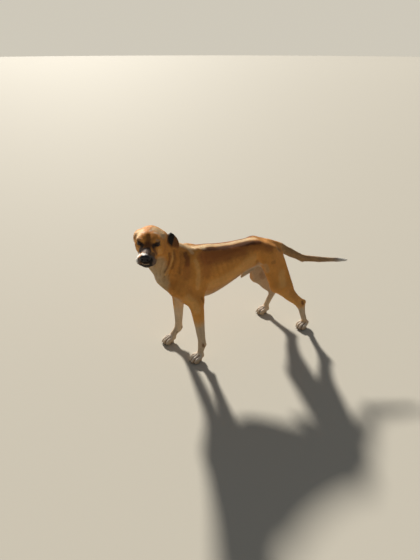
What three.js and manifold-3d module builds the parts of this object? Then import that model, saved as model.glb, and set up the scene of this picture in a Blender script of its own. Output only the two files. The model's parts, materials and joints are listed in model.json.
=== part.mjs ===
// A short-coated, broad-headed dog standing on four feet, life size, in millimetres.
// +Z is up, the dog faces -Y and its left side is +X. The origin is the bottom centre of its bounding box.
//
// The body is one smooth field of rounded masses, each named after the bone or muscle that fills it.
// The field is meshed finely and parted by thin cuts into head, neck, trunk, tail, legs and paws.
// Each piece is then thinned to the number of triangles that its shape needs.
import * as THREE from "three";
import { mergeVertices } from "three/addons/utils/BufferGeometryUtils.js";
import Module from "manifold-3d";

const wasm = await Module();
wasm.setup();

const point = (x, y, z) => new THREE.Vector3(x, y, z);
const SIDEWAYS = point(1, 0, 0);
const UP = point(0, 0, 1);
const DOWN = point(0, 0, -1);
const SIDES = ["left", "right"];

// ---------------------------------------------------------------- driving dimensions

const CUT = 0.4; // width of the thin cuts that part the body
const SOCKET = 0.35; // room round an eye, ear, claw or nose in its socket
const REACH = 1500; // half size of the blocks that cut it

// Median outlines of the trunk, as [distance behind the forefeet, height] or [distance, half width].
const BACK_LINE = [
  [-80, 490], [-40, 545], [20, 578], [85, 595], [135, 596], [210, 582], [290, 575],
  [350, 577], [410, 578], [460, 557], [505, 527], [545, 490],
];
const BELLY_LINE = [
  [-80, 430], [-55, 396], [0, 350], [70, 319], [140, 313], [210, 336], [290, 374],
  [350, 397], [410, 410], [460, 418], [505, 430], [545, 462],
];
const WIDTH_LINE = [
  [-80, 42], [-55, 60], [0, 72], [70, 82], [140, 91], [210, 94], [290, 88],
  [350, 76], [410, 68], [460, 66], [505, 60], [545, 44],
];

// Joints of each leg: x is the distance from the median plane, y runs backwards, z is the height.
const FORELEGS = {
  left: {
    shoulder: [76, -42, 428], elbow: [86, 42, 338], wrist: [103, 66, 92], paw: [110, 32], toeOut: 4,
  },
  right: {
    shoulder: [76, -58, 428], elbow: [84, 17, 334], wrist: [95, 18, 88], paw: [98, -40], toeOut: 6,
  },
};
const HINDLEGS = {
  left: {
    hip: [52, 462, 504], knee: [88, 508, 320], hock: [108, 672, 157], paw: [116, 701], toeOut: 10,
  },
  right: {
    hip: [52, 462, 504], knee: [88, 492, 298], hock: [108, 632, 139], paw: [116, 578], toeOut: 14,
  },
};

// The head's own frame has its origin between the eyes, its nose towards -y and its crown towards +z.
const HEAD = { place: point(77, -169, 695), turn: 62, nod: 3, tilt: 3 };
const EYE = { x: 36, y: 0, z: 3, radius: 12 };
const NOSE = { y: -94, z: -17, wide: 22, high: 16, deep: 14 };
// Each ear hangs along a curve through four places; `across` leads from its front edge to its back edge.
const EARS = {
  left: {
    root: [44, 76, -4], fold: [73, 79, 4], drop: [96, 86, -18], tip: [122, 100, -62],
    across: [0.6, 0.8, -0.12],
  },
  right: {
    root: [46, 74, 2], fold: [67, 76, 12], drop: [78, 80, -14], tip: [74, 90, -50],
    across: [0.1, 0.97, -0.2],
  },
};
const EAR = { wide: 29, thick: 3.2, curl: 5 };
const DEWCLAW = { share: 0.25, inwards: 18 };
const CLAW = { radius: 3.6, length: 17, droop: 4, slope: 0.45 };

// Tail centre line, from the root to the tip.
const TAIL = [
  [0, 500, 528], [4, 560, 502], [18, 630, 458], [44, 700, 418],
  [84, 780, 411], [128, 870, 408], [150, 915, 406],
];
const TAIL_RADIUS = { root: 27, tip: 6.5, swell: 6 };

// Triangles that each node keeps.
const DETAIL = {
  head: 1460, jaw: 230, neck: 480, trunk: 1340, tail: 220, foreleg: 400, hindleg: 500, paw: 290,
};

// ---------------------------------------------------------------- fields

const clamp01 = (t) => Math.min(1, Math.max(0, t));

// A rounded mass between two points. `wide` is its half size along `across` at each end and `deep` the half
// size at right angles to that. `blend` is how softly it runs into its neighbours.
function mass(from, to, wide, deep, blend = 18, across = SIDEWAYS) {
  const axis = to.clone().sub(from);
  const length = axis.length() || 1e-3;
  axis.divideScalar(length);
  const side = across.clone().addScaledVector(axis, -across.dot(axis)).normalize();
  const third = axis.clone().cross(side);
  const value = (x, y, z) => {
    const dx = x - from.x;
    const dy = y - from.y;
    const dz = z - from.z;
    const along = dx * axis.x + dy * axis.y + dz * axis.z;
    const share = clamp01(along / length);
    const a = wide[0] + (wide[1] - wide[0]) * share;
    const b = deep[0] + (deep[1] - deep[0]) * share;
    const c = Math.min(a, b);
    const p = (dx * side.x + dy * side.y + dz * side.z) / a;
    const q = (dx * third.x + dy * third.y + dz * third.z) / b;
    const e = (along - share * length) / c;
    const size = Math.sqrt(p * p + q * q + e * e);
    const slope = Math.sqrt((p / a) ** 2 + (q / b) ** 2 + (e / c) ** 2) + 1e-9;
    return (size * (size - 1)) / slope;
  };
  const centre = from.clone().add(to).multiplyScalar(0.5);
  const bound = length / 2 + Math.max(...wide, ...deep);
  return { value, blend, centre, bound };
}

// A hollow or furrow: a mass that is taken away.
const hollow = (...facts) => ({ ...mass(...facts), carve: true });

// One field of all the masses, in order: negative inside, zero on the surface.
function fieldOf(masses) {
  return (x, y, z) => {
    let d = 1e3;
    for (const m of masses) {
      const k = m.blend;
      if (m.centre) {
        const away = Math.hypot(x - m.centre.x, y - m.centre.y, z - m.centre.z) - m.bound;
        if (away > k + (m.carve ? -d : d)) continue;
      }
      const v = m.value(x, y, z);
      const a = m.carve ? -v : v;
      const h = Math.max(k - Math.abs(m.carve ? d + v : d - v), 0) / k;
      if (m.carve) d = Math.max(d, a) + (h * h * k) / 4;
      else d = Math.min(d, a) - (h * h * k) / 4;
    }
    return d;
  };
}

// A curve through [station, value] pairs, read at a station.
function line(pairs) {
  const curve = new THREE.CatmullRomCurve3(pairs.map(([s, v]) => point(s, v, 0)), false, "centripetal");
  const samples = curve.getPoints(400);
  const first = samples[0].x;
  const last = samples[samples.length - 1].x;
  const table = [];
  for (let i = 0, j = 0; i <= 400; i++) {
    const s = first + ((last - first) * i) / 400;
    while (j < samples.length - 2 && samples[j + 1].x < s) j++;
    const t = clamp01((s - samples[j].x) / (samples[j + 1].x - samples[j].x));
    table.push(samples[j].y + (samples[j + 1].y - samples[j].y) * t);
  }
  return (s) => {
    const at = clamp01((s - first) / (last - first)) * 400;
    const i = Math.min(399, Math.floor(at));
    return table[i] + (table[i + 1] - table[i]) * (at - i);
  };
}

// The barrel of the body: an egg-shaped section at each station along Y, widest above its middle.
function barrel() {
  const top = line(BACK_LINE);
  const bottom = line(BELLY_LINE);
  const half = line(WIDTH_LINE);
  const first = BACK_LINE[0][0];
  const last = BACK_LINE[BACK_LINE.length - 1][0];
  const value = (x, y, z) => {
    const s = Math.min(last, Math.max(first, y));
    const height = top(s) - bottom(s);
    const middle = bottom(s) + height * 0.58;
    const q = z > middle ? (z - middle) / (top(s) - middle) : (z - middle) / (middle - bottom(s));
    const p = x / half(s);
    const e = (y - s) / 40;
    const n = z > middle ? 2.2 : 1.9;
    const size = Math.pow(Math.abs(p) ** n + Math.abs(q) ** n + Math.abs(e) ** n, 1 / n) + 1e-6;
    const radius = Math.sqrt(x * x + (y - s) ** 2 + (z - middle) ** 2);
    return radius - radius / size;
  };
  return { value, blend: 20 };
}

// ---------------------------------------------------------------- masses of the body

const mirrored = (x, y, z, side) => point(x * side, y, z);
const sideOf = (name) => (name === "left" ? 1 : -1);
const mix = (a, b, t) => a.clone().lerp(b, t);

function forelegMasses(name) {
  const side = sideOf(name);
  const joint = FORELEGS[name];
  const shoulder = mirrored(...joint.shoulder, side);
  const elbow = mirrored(...joint.elbow, side);
  const wrist = mirrored(...joint.wrist, side);
  const at = (x, y, z) => mirrored(x, y, z, side);
  const knuckle = knuckleOf(joint, side);
  const bladeTop = at(34, shoulder.y + 145, 566);
  const near = (place, x, y, z) => place.clone().add(at(x, y, z));
  const olecranon = near(elbow, 0, 27, 10);
  const foreTop = near(mix(elbow, wrist, 0.05), 4, -6, 0);
  return [
    mass(bladeTop, shoulder, [15, 26], [50, 38], 34), // shoulder blade
    mass(shoulder, mix(shoulder, elbow, 0.9), [30, 25], [42, 34], 28), // upper arm
    mass(at(60, shoulder.y + 120, 480), olecranon, [24, 12], [50, 17], 26), // triceps
    mass(at(32, -62, 440), at(40, -16, 375), [32, 26], [34, 30], 30), // breast muscle
    mass(near(elbow, 0, 6, 0), wrist, [27, 17], [37, 19], 18), // forearm
    mass(foreTop, near(mix(elbow, wrist, 0.5), 1, -2, 0), [22, 13], [24, 14], 16), // front of the forearm
    mass(olecranon, near(olecranon, 0, 0, -14), [11, 11], [11, 11], 16), // point of the elbow
    mass(near(wrist, 0, 0, 12), near(wrist, 0, -2, -10), [20, 19], [20, 19], 10), // wrist
    mass(wrist, knuckle, [18, 21], [17, 16], 12), // pastern
    mass(near(wrist, 2, 19, -6), near(wrist, 2, 22, -14), [7, 6], [7, 6], 5), // carpal pad
  ];
}

function hindlegMasses(name) {
  const side = sideOf(name);
  const joint = HINDLEGS[name];
  const hip = mirrored(...joint.hip, side);
  const knee = mirrored(...joint.knee, side);
  const hock = mirrored(...joint.hock, side);
  const at = (x, y, z) => mirrored(x, y, z, side);
  const knuckle = knuckleOf(joint, side);
  const near = (place, x, y, z) => place.clone().add(at(x, y, z));
  const shank = (share) => mix(knee, hock, share);
  const heel = near(hock, 0, 23, 18);
  const seat = at(44, 526, 470);
  return [
    mass(at(38, 424, 541), at(46, 500, 503), [24, 26], [24, 30], 34), // rump
    mass(hip, knee, [34, 22], [52, 34], 34), // thigh, front
    mass(seat, near(shank(0.3), 0, 18, 16), [30, 20], [40, 35], 30), // thigh, back
    mass(near(seat, 6, 12, -10), near(shank(0.6), 0, 18, 16), [20, 12], [19, 13], 24), // hamstring
    mass(near(hip, -12, 20, -40), near(shank(0.12), -14, 8, 0), [22, 14], [50, 30], 24), // inner thigh
    mass(near(knee, 0, -12, 6), near(knee, 0, -4, -22), [17, 15], [17, 15], 22), // kneecap
    mass(shank(0.04), shank(0.66), [24, 15], [34, 22], 22), // shank
    mass(near(shank(0.16), 0, 20, 10), near(shank(0.5), 0, 20, 14), [19, 10], [24, 13], 18), // calf
    mass(shank(0.5), hock, [15, 15], [21, 19], 16), // lower shank
    mass(near(shank(0.45), 0, 24, 18), heel, [8, 8], [9, 10], 14), // tendon of the heel
    mass(heel, hock, [12, 16], [12, 18], 12), // hock
    mass(heel, near(mix(hock, knuckle, 0.4), 0, 5, 0), [11, 12], [12, 12], 12), // below the heel
    mass(hock, knuckle, [16, 19], [18, 16], 12), // hind pastern
  ];
}

// A paw in its own frame: toes towards -y, the sole at z = 0.
const TOES = [{ x: -22, y: 8 }, { x: -8, y: -3 }, { x: 8, y: -3 }, { x: 22, y: 8 }];

const knuckleOf = (joint, side) => mirrored(joint.paw[0], joint.paw[1] + 16, 34, side);

function pawFrame(joint, side) {
  const frame = new THREE.Matrix4().makeRotationZ(THREE.MathUtils.degToRad(joint.toeOut * side));
  return frame.setPosition(joint.paw[0] * side, joint.paw[1], 0);
}

function pawMasses(joint, side) {
  const frame = pawFrame(joint, side);
  const at = (x, y, z) => point(x, y, z).applyMatrix4(frame);
  const across = at(1, 0, 0).sub(at(0, 0, 0));
  const masses = [
    mass(at(0, 26, 30), at(0, 4, 30), [20, 23], [15, 15], 10, across), // instep
    mass(at(-9, 14, 8), at(9, 14, 8), [11, 11], [12, 12], 5), // main pad
  ];
  for (const toe of TOES) {
    masses.push(
      mass(at(toe.x * 0.8, toe.y, 28), at(toe.x, toe.y - 16, 23), [10.5, 10], [12, 12], 5, across),
      mass(at(toe.x, toe.y - 16, 22), at(toe.x, toe.y - 28, 12.5), [9.6, 9], [12, 10], 5, across),
      mass(at(toe.x, toe.y - 12, 6), at(toe.x, toe.y - 24, 6), [8.5, 7.5], [8.5, 8], 4, across), // toe pad
    );
  }
  return masses;
}

function neckMasses() {
  const nape = inHead(0, 92, -6);
  const throat = inHead(0, 58, -44);
  return [
    mass(nape, point(4, 4, 568), [50, 56], [42, 47], 30), // crest of the neck
    mass(point(4, 4, 568), point(0, 84, 522), [56, 60], [47, 48], 34), // root of the crest
    mass(mix(nape, throat, 0.5), point(0, -10, 500), [50, 64], [46, 66], 30), // middle of the neck
    mass(throat.clone().add(point(-14, -12, -26)), point(-4, -68, 474), [46, 52], [44, 48], 30), // throat
  ];
}

// ---------------------------------------------------------------- head

const headFrame = new THREE.Matrix4()
  .makeRotationFromEuler(
    new THREE.Euler(
      THREE.MathUtils.degToRad(HEAD.nod),
      THREE.MathUtils.degToRad(HEAD.tilt),
      THREE.MathUtils.degToRad(HEAD.turn),
      "ZYX",
    ),
  )
  .setPosition(HEAD.place);

function inHead(x, y, z) {
  return point(x, y, z).applyMatrix4(headFrame);
}

function headMasses() {
  const across = inHead(1, 0, 0).sub(inHead(0, 0, 0));
  const part = (a, b, wide, deep, blend) => mass(inHead(...a), inHead(...b), wide, deep, blend, across);
  const dent = (a, b, wide, deep, blend) => hollow(inHead(...a), inHead(...b), wide, deep, blend, across);
  const masses = [
    part([0, 34, 3], [0, 74, 4], [58, 60], [40, 42], 20), // cranium
    part([0, 6, -20], [0, 60, -24], [46, 52], [30, 38], 20), // face
    part([0, -4, -29], [0, -75, -34], [39, 35], [30, 27], 18), // muzzle
    part([0, 2, -6], [0, -82, -13], [20, 17], [12, 10], 12), // bridge of the nose
    part([0, 44, -52], [0, -68, -63], [37, 22], [16, 14], 16), // lower jaw
  ];
  for (const s of [-1, 1]) {
    masses.push(
      part([s * 46, 34, -34], [s * 46, 66, -34], [18, 20], [28, 30], 20), // cheek
      part([s * 50, 14, -14], [s * 55, 46, -12], [9, 10], [11, 13], 16), // cheekbone
      part([s * 25, 0, 14], [s * 41, 12, 17], [15, 12], [8, 8], 18), // brow
      part([s * 58, 56, 9], [s * 58, 74, 9], [14, 14], [14, 14], 22), // root of the ear
      part([s * 22, -16, -45], [s * 25, -74, -42], [18, 18], [18, 19], 12), // upper lip
    );
  }
  masses.push(dent([0, -2, 31], [0, 40, 58], [6, 6], [7, 7], 18)); // furrow of the forehead
  return masses;
}

function bellyMasses() {
  return [
    mass(point(0, 344, 368), point(0, 398, 400), [10, 13], [11, 14], 18), // sheath
    mass(point(0, 366, 388), point(0, 420, 406), [7, 11], [13, 13], 20), // fold that holds the sheath
  ];
}

function tailMasses() {
  const stops = TAIL.map((stop) => point(...stop));
  const radius = (i) => {
    const t = i / (stops.length - 1);
    const { root, tip, swell } = TAIL_RADIUS;
    return root * (1 - t) ** 1.15 + tip * t ** 0.6 + swell * t * (1 - t);
  };
  return stops.slice(1).map((stop, i) =>
    mass(stops[i], stop, [radius(i), radius(i + 1)], [radius(i), radius(i + 1)], i ? 8 : 26),
  );
}

// ---------------------------------------------------------------- ears, eyes, nose, claws

// Each of these is made a second time with some `room` all round it, to cut its socket.

// Moves every point of a geometry to the place that `way` gives for it.
function reshaped(geometry, way) {
  const position = geometry.getAttribute("position");
  for (let i = 0; i < position.count; i++) {
    const place = way(position.getX(i), position.getY(i), position.getZ(i));
    position.setXYZ(i, place.x, place.y, place.z);
  }
  return geometry;
}

// An ear flap: a flattened ball drawn along a curve that leaves the skull, folds over and hangs down.
function ear(name, room = 0) {
  const side = sideOf(name);
  const facts = EARS[name];
  const stops = [facts.root, facts.fold, facts.drop, facts.tip].map((stop) => mirrored(...stop, side));
  const spine = new THREE.CatmullRomCurve3(stops, false, "centripetal");
  const across = mirrored(...facts.across, side);
  const ball = new THREE.SphereGeometry(1, 12, 10).rotateX(Math.PI / 2);
  const flap = reshaped(ball, (x, y, z) => {
    const share = (z + 1) / 2;
    const along = spine.getTangentAt(share);
    const back = across.clone().addScaledVector(along, -along.dot(across)).normalize();
    const out = back.clone().cross(along).multiplyScalar(-side);
    const wide = EAR.wide * (1.1 - 0.25 * share) + room;
    const thick = EAR.thick * (1.7 - 0.9 * share) + room;
    const place = spine.getPointAt(share).addScaledVector(along, room * z);
    place.addScaledVector(back, wide * Math.sign(x) * Math.abs(x) ** 0.8);
    return place.addScaledVector(out, thick * y * side - EAR.curl * x * x);
  });
  return solidOf(flap.applyMatrix4(headFrame));
}

function eye(side, room = 0) {
  const ball = new THREE.SphereGeometry(EYE.radius + room, 10, 8).rotateX(Math.PI / 2);
  return solidOf(ball.translate(EYE.x * side, EYE.y, EYE.z).applyMatrix4(headFrame));
}

// The nose leather.
function nose(room = 0) {
  const ball = new THREE.SphereGeometry(1, 12, 8).rotateX(Math.PI / 2);
  ball.scale(NOSE.wide + room, NOSE.deep + room, NOSE.high + room);
  return solidOf(ball.translate(0, NOSE.y, NOSE.z).applyMatrix4(headFrame));
}

// A claw at a place in its paw's frame: a cone that points forwards and droops towards its tip.
function claw(place, frame, room = 0) {
  const cone = new THREE.ConeGeometry(CLAW.radius + room, CLAW.length + 2 * room, 6, 2).rotateX(Math.PI);
  const droop = (y) => CLAW.droop * clamp01(0.5 - y / CLAW.length) ** 2;
  const bent = reshaped(cone, (x, y, z) => point(x, y, z - droop(y)));
  return solidOf(bent.rotateX(CLAW.slope).translate(...place).applyMatrix4(frame));
}

// ---------------------------------------------------------------- meshing

// The six tetrahedra of a cell, round its long diagonal. Corner numbers count x + 2y + 4z.
const TETRAHEDRA = [
  [0, 1, 3, 7], [0, 3, 2, 7], [0, 2, 6, 7], [0, 6, 4, 7], [0, 4, 5, 7], [0, 5, 1, 7],
];
const ALONE = [[0, 1, 2, 3], [1, 0, 3, 2], [2, 3, 0, 1], [3, 2, 1, 0]];
const PAIRS = {
  3: [0, 1, 2, 3], 5: [0, 2, 3, 1], 9: [0, 3, 1, 2], 6: [1, 2, 0, 3], 10: [1, 3, 2, 0], 12: [2, 3, 0, 1],
};

// The closed surface where a field is zero, by marching tetrahedra through a box of cubic cells.
function surfaceOf(field, low, high, cell) {
  const count = high.clone().sub(low).divideScalar(cell).ceil().addScalar(1);
  const [nx, ny, nz] = count.toArray();
  const values = new Float64Array(nx * ny * nz);
  for (let k = 0, n = 0; k < nz; k++)
    for (let j = 0; j < ny; j++)
      for (let i = 0; i < nx; i++, n++) {
        const rim = i === 0 || j === 0 || k === 0 || i === nx - 1 || j === ny - 1 || k === nz - 1;
        const v = rim ? cell : field(low.x + i * cell, low.y + j * cell, low.z + k * cell);
        values[n] = Math.abs(v) < 1e-3 ? 1e-3 : v;
      }
  const positions = [];
  const triangles = [];
  const known = new Map();
  const step = [1, nx, nx * ny];
  const offset = (c) => (c & 1) * step[0] + ((c >> 1) & 1) * step[1] + (c >> 2) * step[2];
  const cornerStep = Array.from({ length: 8 }, (_, c) => offset(c));
  const crossing = (base, a, b) => {
    const [lo, hi] = a < b ? [a, b] : [b, a];
    const from = base + cornerStep[lo];
    const key = from * 8 + (hi - lo);
    let index = known.get(key);
    if (index === undefined) {
      const to = base + cornerStep[hi];
      const t = Math.min(0.95, Math.max(0.05, values[from] / (values[from] - values[to])));
      const way = hi - lo;
      const i = from % nx;
      const j = Math.floor(from / nx) % ny;
      const k = Math.floor(from / step[2]);
      index = positions.length / 3;
      positions.push(
        low.x + (i + t * (way & 1)) * cell,
        low.y + (j + t * ((way >> 1) & 1)) * cell,
        low.z + (k + t * (way >> 2)) * cell,
      );
      known.set(key, index);
    }
    return index;
  };
  for (let k = 0; k < nz - 1; k++)
    for (let j = 0; j < ny - 1; j++)
      for (let i = 0; i < nx - 1; i++) {
        const base = i + j * step[1] + k * step[2];
        let inside = 0;
        for (let c = 0; c < 8; c++) if (values[base + cornerStep[c]] < 0) inside++;
        if (inside === 0 || inside === 8) continue;
        for (const corners of TETRAHEDRA) {
          let code = 0;
          for (let v = 0; v < 4; v++) if (values[base + cornerStep[corners[v]]] < 0) code |= 1 << v;
          if (code === 0 || code === 15) continue;
          const single = [1, 2, 4, 8].indexOf(code);
          const missing = [14, 13, 11, 7].indexOf(code);
          const order = single >= 0 ? ALONE[single] : missing >= 0 ? ALONE[missing] : PAIRS[code];
          const [a, b, c, d] = order.map((v) => corners[v]);
          const edge = (p, q) => crossing(base, p, q);
          if (single >= 0) triangles.push(edge(a, b), edge(a, c), edge(a, d));
          else if (missing >= 0) triangles.push(edge(a, b), edge(a, d), edge(a, c));
          else {
            triangles.push(edge(a, c), edge(a, d), edge(b, d));
            triangles.push(edge(a, c), edge(b, d), edge(b, c));
          }
        }
      }
  return toSolid(new Float32Array(positions), new Uint32Array(triangles));
}

function toSolid(vertProperties, triVerts) {
  return new wasm.Manifold(new wasm.Mesh({ numProp: 3, vertProperties, triVerts }));
}

// A three.js geometry as a solid that can be cut and joined.
function solidOf(geometry) {
  const bare = new THREE.BufferGeometry().setAttribute("position", geometry.getAttribute("position"));
  if (geometry.index) bare.setIndex(geometry.index);
  const merged = mergeVertices(bare, 1e-3);
  return toSolid(merged.attributes.position.array, new Uint32Array(merged.index.array));
}

function geometryOf(solid) {
  const mesh = solid.getMesh();
  const geometry = new THREE.BufferGeometry();
  geometry.setAttribute("position", new THREE.BufferAttribute(new Float32Array(mesh.vertProperties), 3));
  geometry.setIndex(new THREE.BufferAttribute(new Uint32Array(mesh.triVerts), 1));
  geometry.computeVertexNormals();
  return geometry;
}

const largest = (solid) => solid.decompose().sort((a, b) => b.volume() - a.volume())[0];

// ---------------------------------------------------------------- thinning

// Takes edges out of a closed mesh until `target` triangles are left, always the one that changes its shape
// least. A lost point moves onto its neighbour, so flat cut faces stay exactly flat.
function thin(solid, target) {
  const mesh = solid.getMesh();
  const at = mesh.vertProperties;
  const tri = Array.from(mesh.triVerts);
  const points = at.length / 3;
  const faces = Array.from({ length: points }, () => new Set());
  const quadric = new Float64Array(points * 10);
  const stamp = new Uint32Array(points);
  const alive = new Uint8Array(tri.length / 3).fill(1);
  let left = tri.length / 3;
  const normalOf = (a, b, c) => {
    const [ux, uy, uz] = [0, 1, 2].map((i) => at[b * 3 + i] - at[a * 3 + i]);
    const [vx, vy, vz] = [0, 1, 2].map((i) => at[c * 3 + i] - at[a * 3 + i]);
    return [uy * vz - uz * vy, uz * vx - ux * vz, ux * vy - uy * vx];
  };
  const longest = (corners) => {
    const sides = [0, 1, 2].map((i) => {
      const a = corners[i] * 3;
      const b = corners[(i + 1) % 3] * 3;
      return Math.hypot(at[a] - at[b], at[a + 1] - at[b + 1], at[a + 2] - at[b + 2]);
    });
    return Math.max(...sides, 1e-6);
  };
  for (let f = 0; f < left; f++) {
    const corners = [tri[f * 3], tri[f * 3 + 1], tri[f * 3 + 2]];
    const n = normalOf(...corners);
    const area = Math.hypot(...n);
    if (area > 0) n.forEach((v, i) => (n[i] = v / area));
    const o = corners[0] * 3;
    const d = -(n[0] * at[o] + n[1] * at[o + 1] + n[2] * at[o + 2]);
    const plane = [...n, d];
    for (const c of corners) {
      faces[c].add(f);
      for (let i = 0, q = c * 10; i < 4; i++)
        for (let j = i; j < 4; j++, q++) quadric[q] += plane[i] * plane[j] * area;
    }
  }
  const cost = (u, v) => {
    const p = [at[v * 3], at[v * 3 + 1], at[v * 3 + 2], 1];
    let sum = 0;
    for (let i = 0, q = 0; i < 4; i++)
      for (let j = i; j < 4; j++, q++)
        sum += (quadric[u * 10 + q] + quadric[v * 10 + q]) * p[i] * p[j] * (i === j ? 1 : 2);
    const edge = Math.hypot(at[u * 3] - p[0], at[u * 3 + 1] - p[1], at[u * 3 + 2] - p[2]);
    return Math.max(0, sum) + 1e-4 * edge ** 3;
  };
  const heap = [];
  const swap = (i, j) => ([heap[i], heap[j]] = [heap[j], heap[i]]);
  const push = (item) => {
    let i = heap.push(item) - 1;
    while (i > 0 && heap[(i - 1) >> 1][0] > heap[i][0]) {
      swap(i, (i - 1) >> 1);
      i = (i - 1) >> 1;
    }
  };
  const pop = () => {
    const first = heap[0];
    const last = heap.pop();
    if (heap.length) {
      heap[0] = last;
      for (let i = 0; ; ) {
        let small = i;
        for (const child of [2 * i + 1, 2 * i + 2])
          if (child < heap.length && heap[child][0] < heap[small][0]) small = child;
        if (small === i) break;
        swap(i, small);
        i = small;
      }
    }
    return first;
  };
  const offer = (u, v) => {
    const uv = cost(u, v);
    const vu = cost(v, u);
    push(uv < vu ? [uv, u, v, stamp[u], stamp[v]] : [vu, v, u, stamp[v], stamp[u]]);
  };
  const around = (u) => {
    const found = new Set();
    for (const f of faces[u]) for (let i = 0; i < 3; i++) found.add(tri[f * 3 + i]);
    found.delete(u);
    return found;
  };
  for (let u = 0; u < points; u++) for (const v of around(u)) if (u < v) offer(u, v);
  while (left > target && heap.length) {
    const [, u, v, stampU, stampV] = pop();
    if (stamp[u] !== stampU || stamp[v] !== stampV) continue;
    const ringU = around(u);
    const ringV = around(v);
    if (!ringU.has(v)) continue;
    let shared = 0;
    for (const w of ringU) if (ringV.has(w)) shared++;
    if (shared !== 2) continue;
    let spoils = false;
    for (const f of faces[u]) {
      const corners = [tri[f * 3], tri[f * 3 + 1], tri[f * 3 + 2]];
      if (corners.includes(v)) continue;
      const moved = corners.map((c) => (c === u ? v : c));
      const before = normalOf(...corners);
      const after = normalOf(...moved);
      const dot = before[0] * after[0] + before[1] * after[1] + before[2] * after[2];
      const shapeBefore = Math.hypot(...before) / longest(corners) ** 2;
      const shapeAfter = Math.hypot(...after) / longest(moved) ** 2;
      const flips = shapeBefore > 0.01 && dot < 0.3 * Math.hypot(...before) * Math.hypot(...after);
      if (flips || (shapeAfter < 0.04 && shapeAfter < shapeBefore) || Math.hypot(...after) < 1e-6) {
        spoils = true;
        break;
      }
    }
    if (spoils) continue;
    for (const f of faces[u]) {
      const corners = [tri[f * 3], tri[f * 3 + 1], tri[f * 3 + 2]];
      if (corners.includes(v)) {
        alive[f] = 0;
        left--;
        for (const c of corners) if (c !== u) faces[c].delete(f);
      } else {
        for (let i = 0; i < 3; i++) if (tri[f * 3 + i] === u) tri[f * 3 + i] = v;
        faces[v].add(f);
      }
    }
    faces[u].clear();
    for (let q = 0; q < 10; q++) quadric[v * 10 + q] += quadric[u * 10 + q];
    stamp[u]++;
    stamp[v]++;
    for (const w of around(v)) offer(v, w);
  }
  const renumber = new Map();
  const kept = [];
  const triVerts = [];
  for (let f = 0; f < alive.length; f++) {
    if (!alive[f]) continue;
    for (let i = 0; i < 3; i++) {
      const u = tri[f * 3 + i];
      if (!renumber.has(u)) {
        renumber.set(u, kept.length / 3);
        kept.push(at[u * 3], at[u * 3 + 1], at[u * 3 + 2]);
      }
      triVerts.push(renumber.get(u));
    }
  }
  return toSolid(new Float32Array(kept), new Uint32Array(triVerts));
}

// ---------------------------------------------------------------- parting

// A block that fills the side of a plane towards which `normal` points, set back by half a cut.
function beyond(onPlane, normal, back = CUT / 2) {
  const n = normal.clone().normalize();
  const block = new THREE.BoxGeometry(2 * REACH, 2 * REACH, 2 * REACH);
  const turn = new THREE.Quaternion().setFromUnitVectors(point(0, 0, 1), n);
  const centre = onPlane.clone().addScaledVector(n, REACH + back);
  return solidOf(block.applyQuaternion(turn).translate(centre.x, centre.y, centre.z));
}

// What lies beyond all of some planes, each given as a point and the normal that leads away.
// `room` moves every plane towards its normal.
function region(planes, room = CUT / 2) {
  return planes.map(([at, normal]) => beyond(at, normal, room)).reduce((a, b) => a.intersect(b));
}
const grown = (planes) => region(planes, -CUT / 2);

const headWay = (x, y, z) => inHead(x, y, z).sub(inHead(0, 0, 0));
const REGIONS = {
  neck: [[point(0, -20, 500), point(0, -0.78, 0.62)]],
  head: [[inHead(0, 82, 0), headWay(0, -1, 0)], [inHead(0, 60, -74), headWay(0, -0.35, 0.94)]],
  jaw: [[inHead(0, -60, -54), headWay(0, 0.05, -1)], [inHead(0, -14, 0), headWay(0, -1, 0)]],
  tail: [
    [point(0, 566, 500), point(0.05, 0.9, -0.43)],
    [point(0, 566, 466), point(0, 0.55, 0.83)],
    [point(36, 566, 0), point(-0.64, 0.77, 0)],
    [point(-36, 566, 0), point(0.64, 0.77, 0)],
  ],
  paw: [[point(0, 0, 50), DOWN]],
  sole: [[point(0, 0, -CUT / 2), UP]],
};
for (const name of SIDES) {
  const outward = point(sideOf(name), 0, 0);
  REGIONS[`foreleg_${name}`] = [
    [outward.clone().multiplyScalar(56), outward],
    [point(0, 0, 372), point(0, 0.12, -1)],
    [point(0, 104, 0), point(0, -1, 0)],
  ];
  REGIONS[`hindleg_${name}`] = [
    [outward.clone(), outward],
    [point(0, 430, 396), point(0, 0.43, -0.9)],
    [point(0, 415, 0), point(0, 1, 0)],
  ];
}

const masses = [barrel(), ...neckMasses()];
for (const name of SIDES) masses.push(...forelegMasses(name), ...hindlegMasses(name));
masses.push(...bellyMasses(), ...tailMasses(), ...headMasses());
for (const name of SIDES) {
  masses.push(...pawMasses(FORELEGS[name], sideOf(name)), ...pawMasses(HINDLEGS[name], sideOf(name)));
}

// The body's surface inside a box, from the masses that come near it.
function bodyIn(low, high, cell) {
  const box = new THREE.Box3(low, high);
  const near = masses.filter((m) => !m.centre || box.distanceToPoint(m.centre) < m.bound + 50);
  return surfaceOf(fieldOf(near), low, high, cell);
}

const parts = new THREE.Group();
const paint = {
  fawn: new THREE.MeshStandardMaterial({ color: 0xb07a45, roughness: 0.85, metalness: 0 }),
  cream: new THREE.MeshStandardMaterial({ color: 0xd9c8ab, roughness: 0.85, metalness: 0 }),
  black: new THREE.MeshStandardMaterial({ color: 0x1c1917, roughness: 0.5, metalness: 0 }),
  horn: new THREE.MeshStandardMaterial({ color: 0x5a4a3c, roughness: 0.4, metalness: 0 }),
  eye: new THREE.MeshStandardMaterial({ color: 0x2a160a, roughness: 0.1, metalness: 0 }),
};

function addPart(name, solid, colour) {
  const mesh = new THREE.Mesh(geometryOf(solid), paint[colour]);
  mesh.name = name;
  parts.add(mesh);
}

// One body of the solid, with about `triangles` triangles.
const tidy = (solid, triangles) => thin(largest(solid), triangles);

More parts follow.
